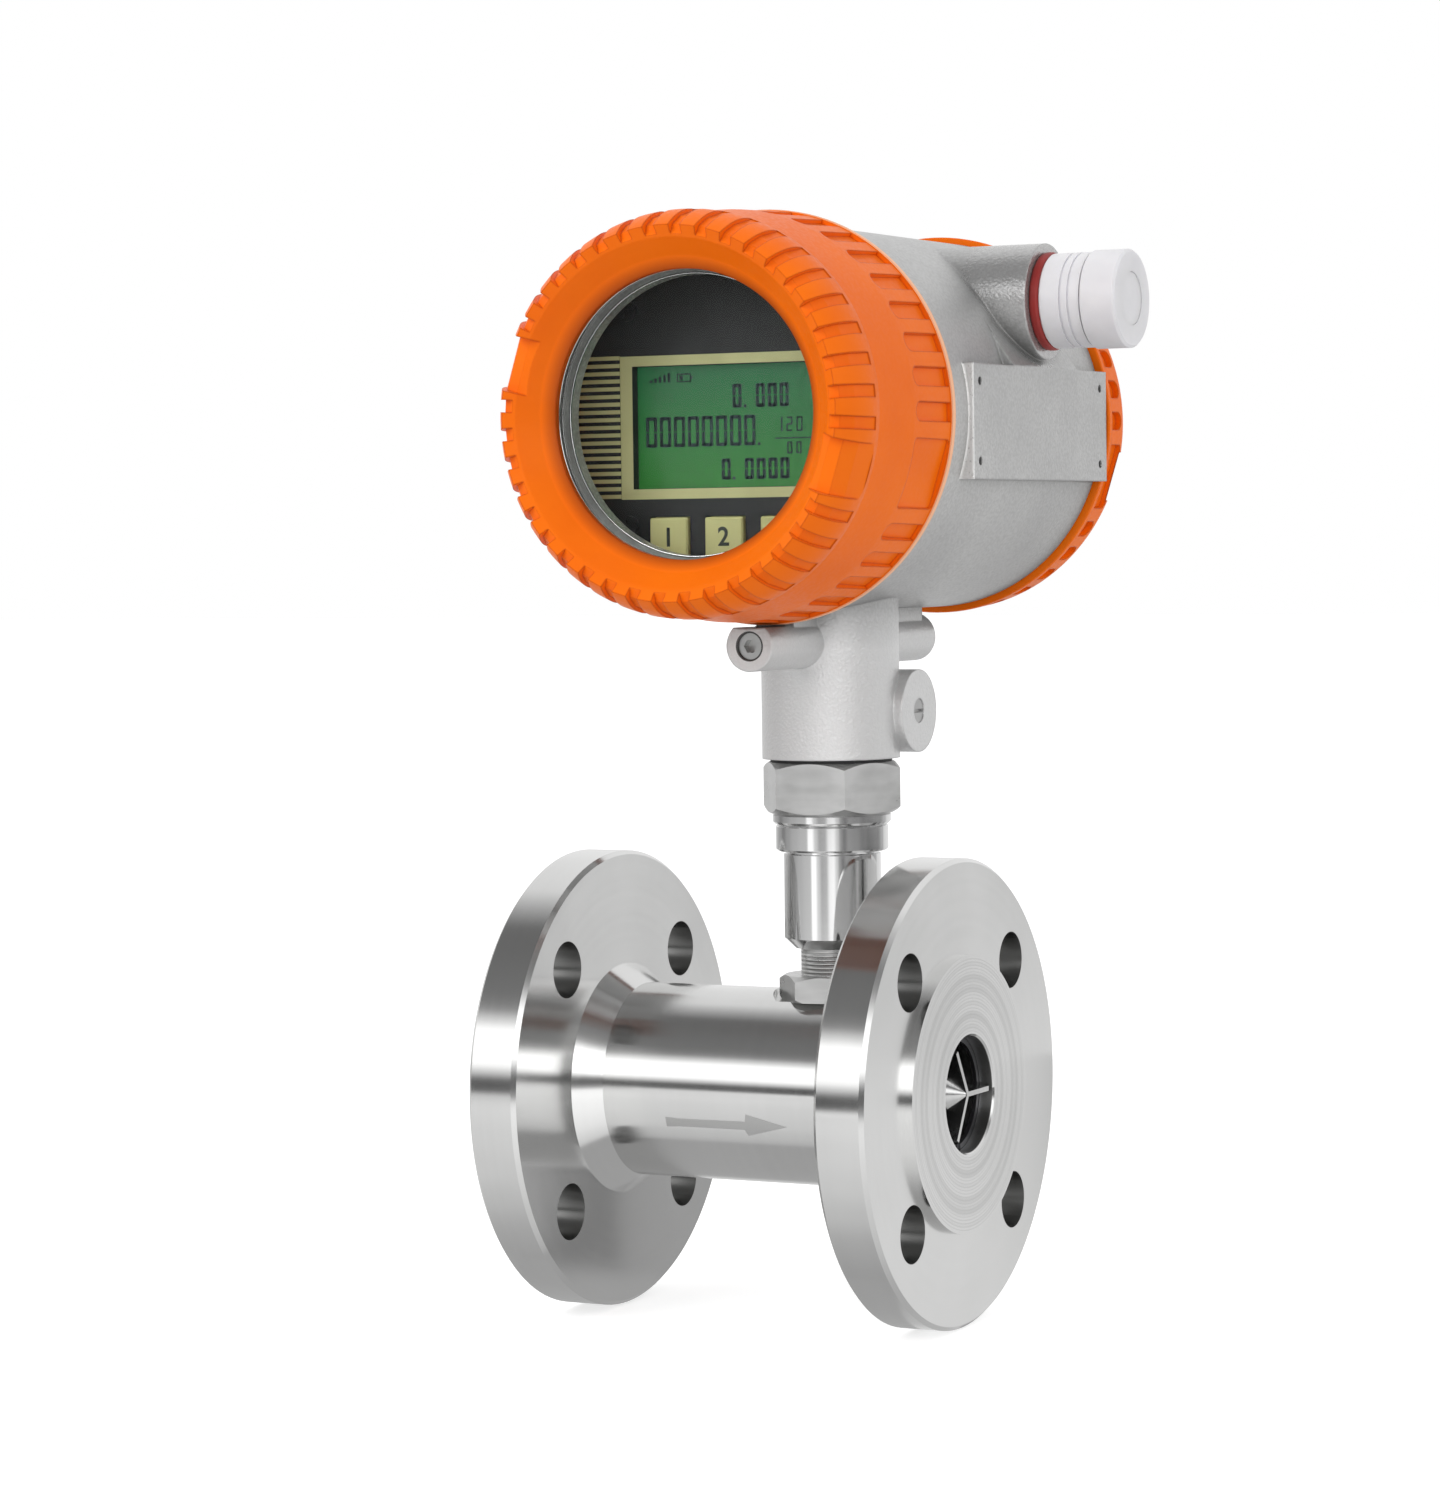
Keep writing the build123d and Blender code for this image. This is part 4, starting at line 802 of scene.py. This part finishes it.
# The liquid crystal display behind the panel's window, lit green from behind. Its large digits are
# dark segments, all at nought as on a meter with no flow, with small marks above and beside them.
display_y, ink_t = -0.052, 0.00003
lcd_low, lcd_high = head_z - 0.016, head_z + 0.012
dot_size, dot_gap, dot_room = 0.0007, 0.0005, 0.0030
lcd_green, lcd_tree, lcd_shader = new_finish("lcd_green")
lcd_height = parts_of(lcd_tree, own_place(lcd_tree))["Z"]
lcd_colour = shade_of(lcd_tree, lcd_height, (0.03, 0.19, 0.03), (0.018, 0.14, 0.05), lcd_low, lcd_high)
feed(lcd_tree, lcd_shader.inputs["Base Color"], lcd_colour)
feed(lcd_tree, lcd_shader.inputs["Emission Color"], lcd_colour)
lcd_shader.inputs["Emission Strength"].default_value = 0.2
feed(lcd_tree, lcd_shader.inputs["Roughness"], between(lcd_tree, grain_of(lcd_tree, 2500), 0.16, 0.26))
cover_node("display", lcd_green)
lcd_ink = moulded_finish("lcd_ink", (0.003, 0.026, 0.025), (0.004, 0.034, 0.031), (0.45, 0.55), 4.0, 0.000002)


def ink_slab(x_low, x_high, z_low, z_high):
    slab(ink_work, x_low, x_high, z_low, z_high, display_y, ink_t)


def lcd_digit(x, z, width, height, stroke, lit):
    half = height / 2
    left, right, whole = (x, x + stroke), (x + width - stroke, x + width), (x, x + width)
    upper, lower = (z - half, z), (z - height, z - half)
    bars = {
        "a": (*whole, z - stroke, z), "g": (*whole, z - half - stroke / 2, z - half + stroke / 2),
        "d": (*whole, z - height, z - height + stroke),
        "f": (*left, *upper), "b": (*right, *upper), "e": (*left, *lower), "c": (*right, *lower)}
    gap = stroke * 0.12
    for name in lit:
        low_x, high_x, low_z, high_z = bars[name]
        if name in "adg":
            low_x, high_x = low_x + stroke * 0.55, high_x - stroke * 0.55
        else:
            low_z, high_z = low_z + gap, high_z - gap
        ink_slab(low_x, high_x, low_z, high_z)


ink_work = bmesh.new()
for start_x, top_z, width, height, stroke, count, pitch, dot_after in (
    (0.0009, 0.0076, 0.0024, 0.0056, 0.00085, 4, 0.0031, 0),
    (-0.0222, 0.0003, 0.0030, 0.0072, 0.00085, 8, 0.00372, 7),
    (-0.0022, -0.0098, 0.0024, 0.0050, 0.00085, 5, 0.0031, 0),
):
    x = start_x
    for number in range(count):
        lcd_digit(x, top_z, width, height, stroke, "abcdef")
        if number == dot_after:
            dot_x, dot_z = x + width + dot_gap, top_z - height
            ink_slab(dot_x, dot_x + dot_size, dot_z, dot_z + dot_size)
            if number + 1 < count:
                x += dot_room
        x += pitch
for bar in range(5):
    ink_slab(-0.0210 + bar * 0.0012, -0.0203 + bar * 0.0012, 0.0084, 0.0090 + bar * 0.0004)
for low_x, high_x, low_z, high_z in (
    (-0.0138, -0.0100, 0.0084, 0.0087), (-0.0138, -0.0100, 0.0101, 0.0104),
    (-0.0138, -0.0135, 0.0084, 0.0104), (-0.0103, -0.0100, 0.0084, 0.0104),
    (-0.0100, -0.0096, 0.0090, 0.0098), (-0.0131, -0.0121, 0.0089, 0.0099),
    (0.0119, 0.0216, -0.0055, -0.0052),
):
    ink_slab(low_x, high_x, low_z, high_z)
for number, lit in enumerate(("bc", "abged", "abcdef")):
    lcd_digit(0.0123 + number * 0.0026, -0.0004, 0.0016, 0.0034, 0.0004, lit)
for number in range(2):
    lcd_digit(0.0150 + number * 0.0024, -0.0062, 0.0014, 0.0028, 0.0004, "abcdef")
to_piece(ink_work, "display_digits", lcd_ink, "head")
for node in ("display_frame", "main_components", "key_switches", "panel_screws"):
    cover_node(node, panel_black)

# The three square keys, khaki plastic caps that press switches on the board behind. Each has its
# plain number printed on it.
key_khaki = moulded_finish("key_khaki", (0.66, 0.62, 0.27), (0.74, 0.70, 0.32), (0.38, 0.55), 3.0, 0.00001)
key_ink = moulded_finish("key_ink", (0.02, 0.025, 0.02), (0.035, 0.04, 0.03), (0.4, 0.5), 3.0, 0.000004)
key_face_y, key_pitch, key_foot_z, key_ink_t = -0.0558, 0.0146, head_z - 0.0302, 0.00002
for number in (1, 2, 3):
    cover_node(f"key_{number}", key_khaki)
    digit = bpy.data.curves.new(f"key_{number}_number", "FONT")
    digit.body = str(number)
    digit.size = 0.0062
    digit.offset = 0.00012
    digit.extrude = key_ink_t
    digit.align_x = "CENTER"
    digit.materials.append(key_ink)
    digit_piece = bpy.data.objects.new(f"key_{number}_number", digit)
    digit_piece.rotation_euler = (pi / 2, 0, 0)
    digit_piece.location = (head_x + (number - 2) * key_pitch, key_face_y - key_ink_t, key_foot_z)
    bpy.context.scene.collection.objects.link(digit_piece)
    bpy.context.view_layer.update()
    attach(digit_piece, f"key_{number}")

# The circuit boards behind the panel, green glass fibre with their parts soldered on. Turned brass
# pillars carry them off the housing's inner wall.
board_green = moulded_finish(
    "board_green", (0.008, 0.07, 0.025), (0.015, 0.11, 0.04), (0.25, 0.4), 2.0, 0.00002)
pillar_brass = turned_finish(
    "pillar_brass", stack_point, screw_axis, (0.6, 0.42, 0.16), (0.72, 0.55, 0.25), (0.2, 0.34), 4.0,
    0.000004)
for node in ("display_board", "main_board"):
    cover_node(node, board_green)
cover_node("board_pillars", pillar_brass)

# The terminal side behind the rear cover, a block of moulded plastic on the inner wall. Its six
# screws clamp the wires, and an earth screw sits beside it.
terminal_grey = moulded_finish(
    "terminal_grey", (0.06, 0.065, 0.07), (0.09, 0.095, 0.1), (0.4, 0.55), 2.5, 0.00003)
cover_node("terminal_block", terminal_grey)

# The cable gland: milky nylon, a body and a cap with smooth grips, sealed to the boss by a dark
# red ring. A disc closes the cap, as the meter has no cable fitted.
def let_light_in(shader):
    shader.inputs["Subsurface Weight"].default_value = 0.35
    shader.inputs["Subsurface Radius"].default_value = (0.004, 0.004, 0.0045)
    shader.inputs["Subsurface Scale"].default_value = 1.0


gland_white = moulded_finish(
    "gland_white", (0.70, 0.695, 0.72), (0.76, 0.755, 0.78), (0.3, 0.42), 1.5, 0.00002, let_light_in)
for node in ("gland_body", "gland_cap", "gland_disc"):
    cover_node(node, gland_white)
seal_red = moulded_finish("seal_red", (0.22, 0.012, 0.01), (0.32, 0.02, 0.016), (0.4, 0.55), 2.0, 0.00002)
cover_node("gland_seal", seal_red)
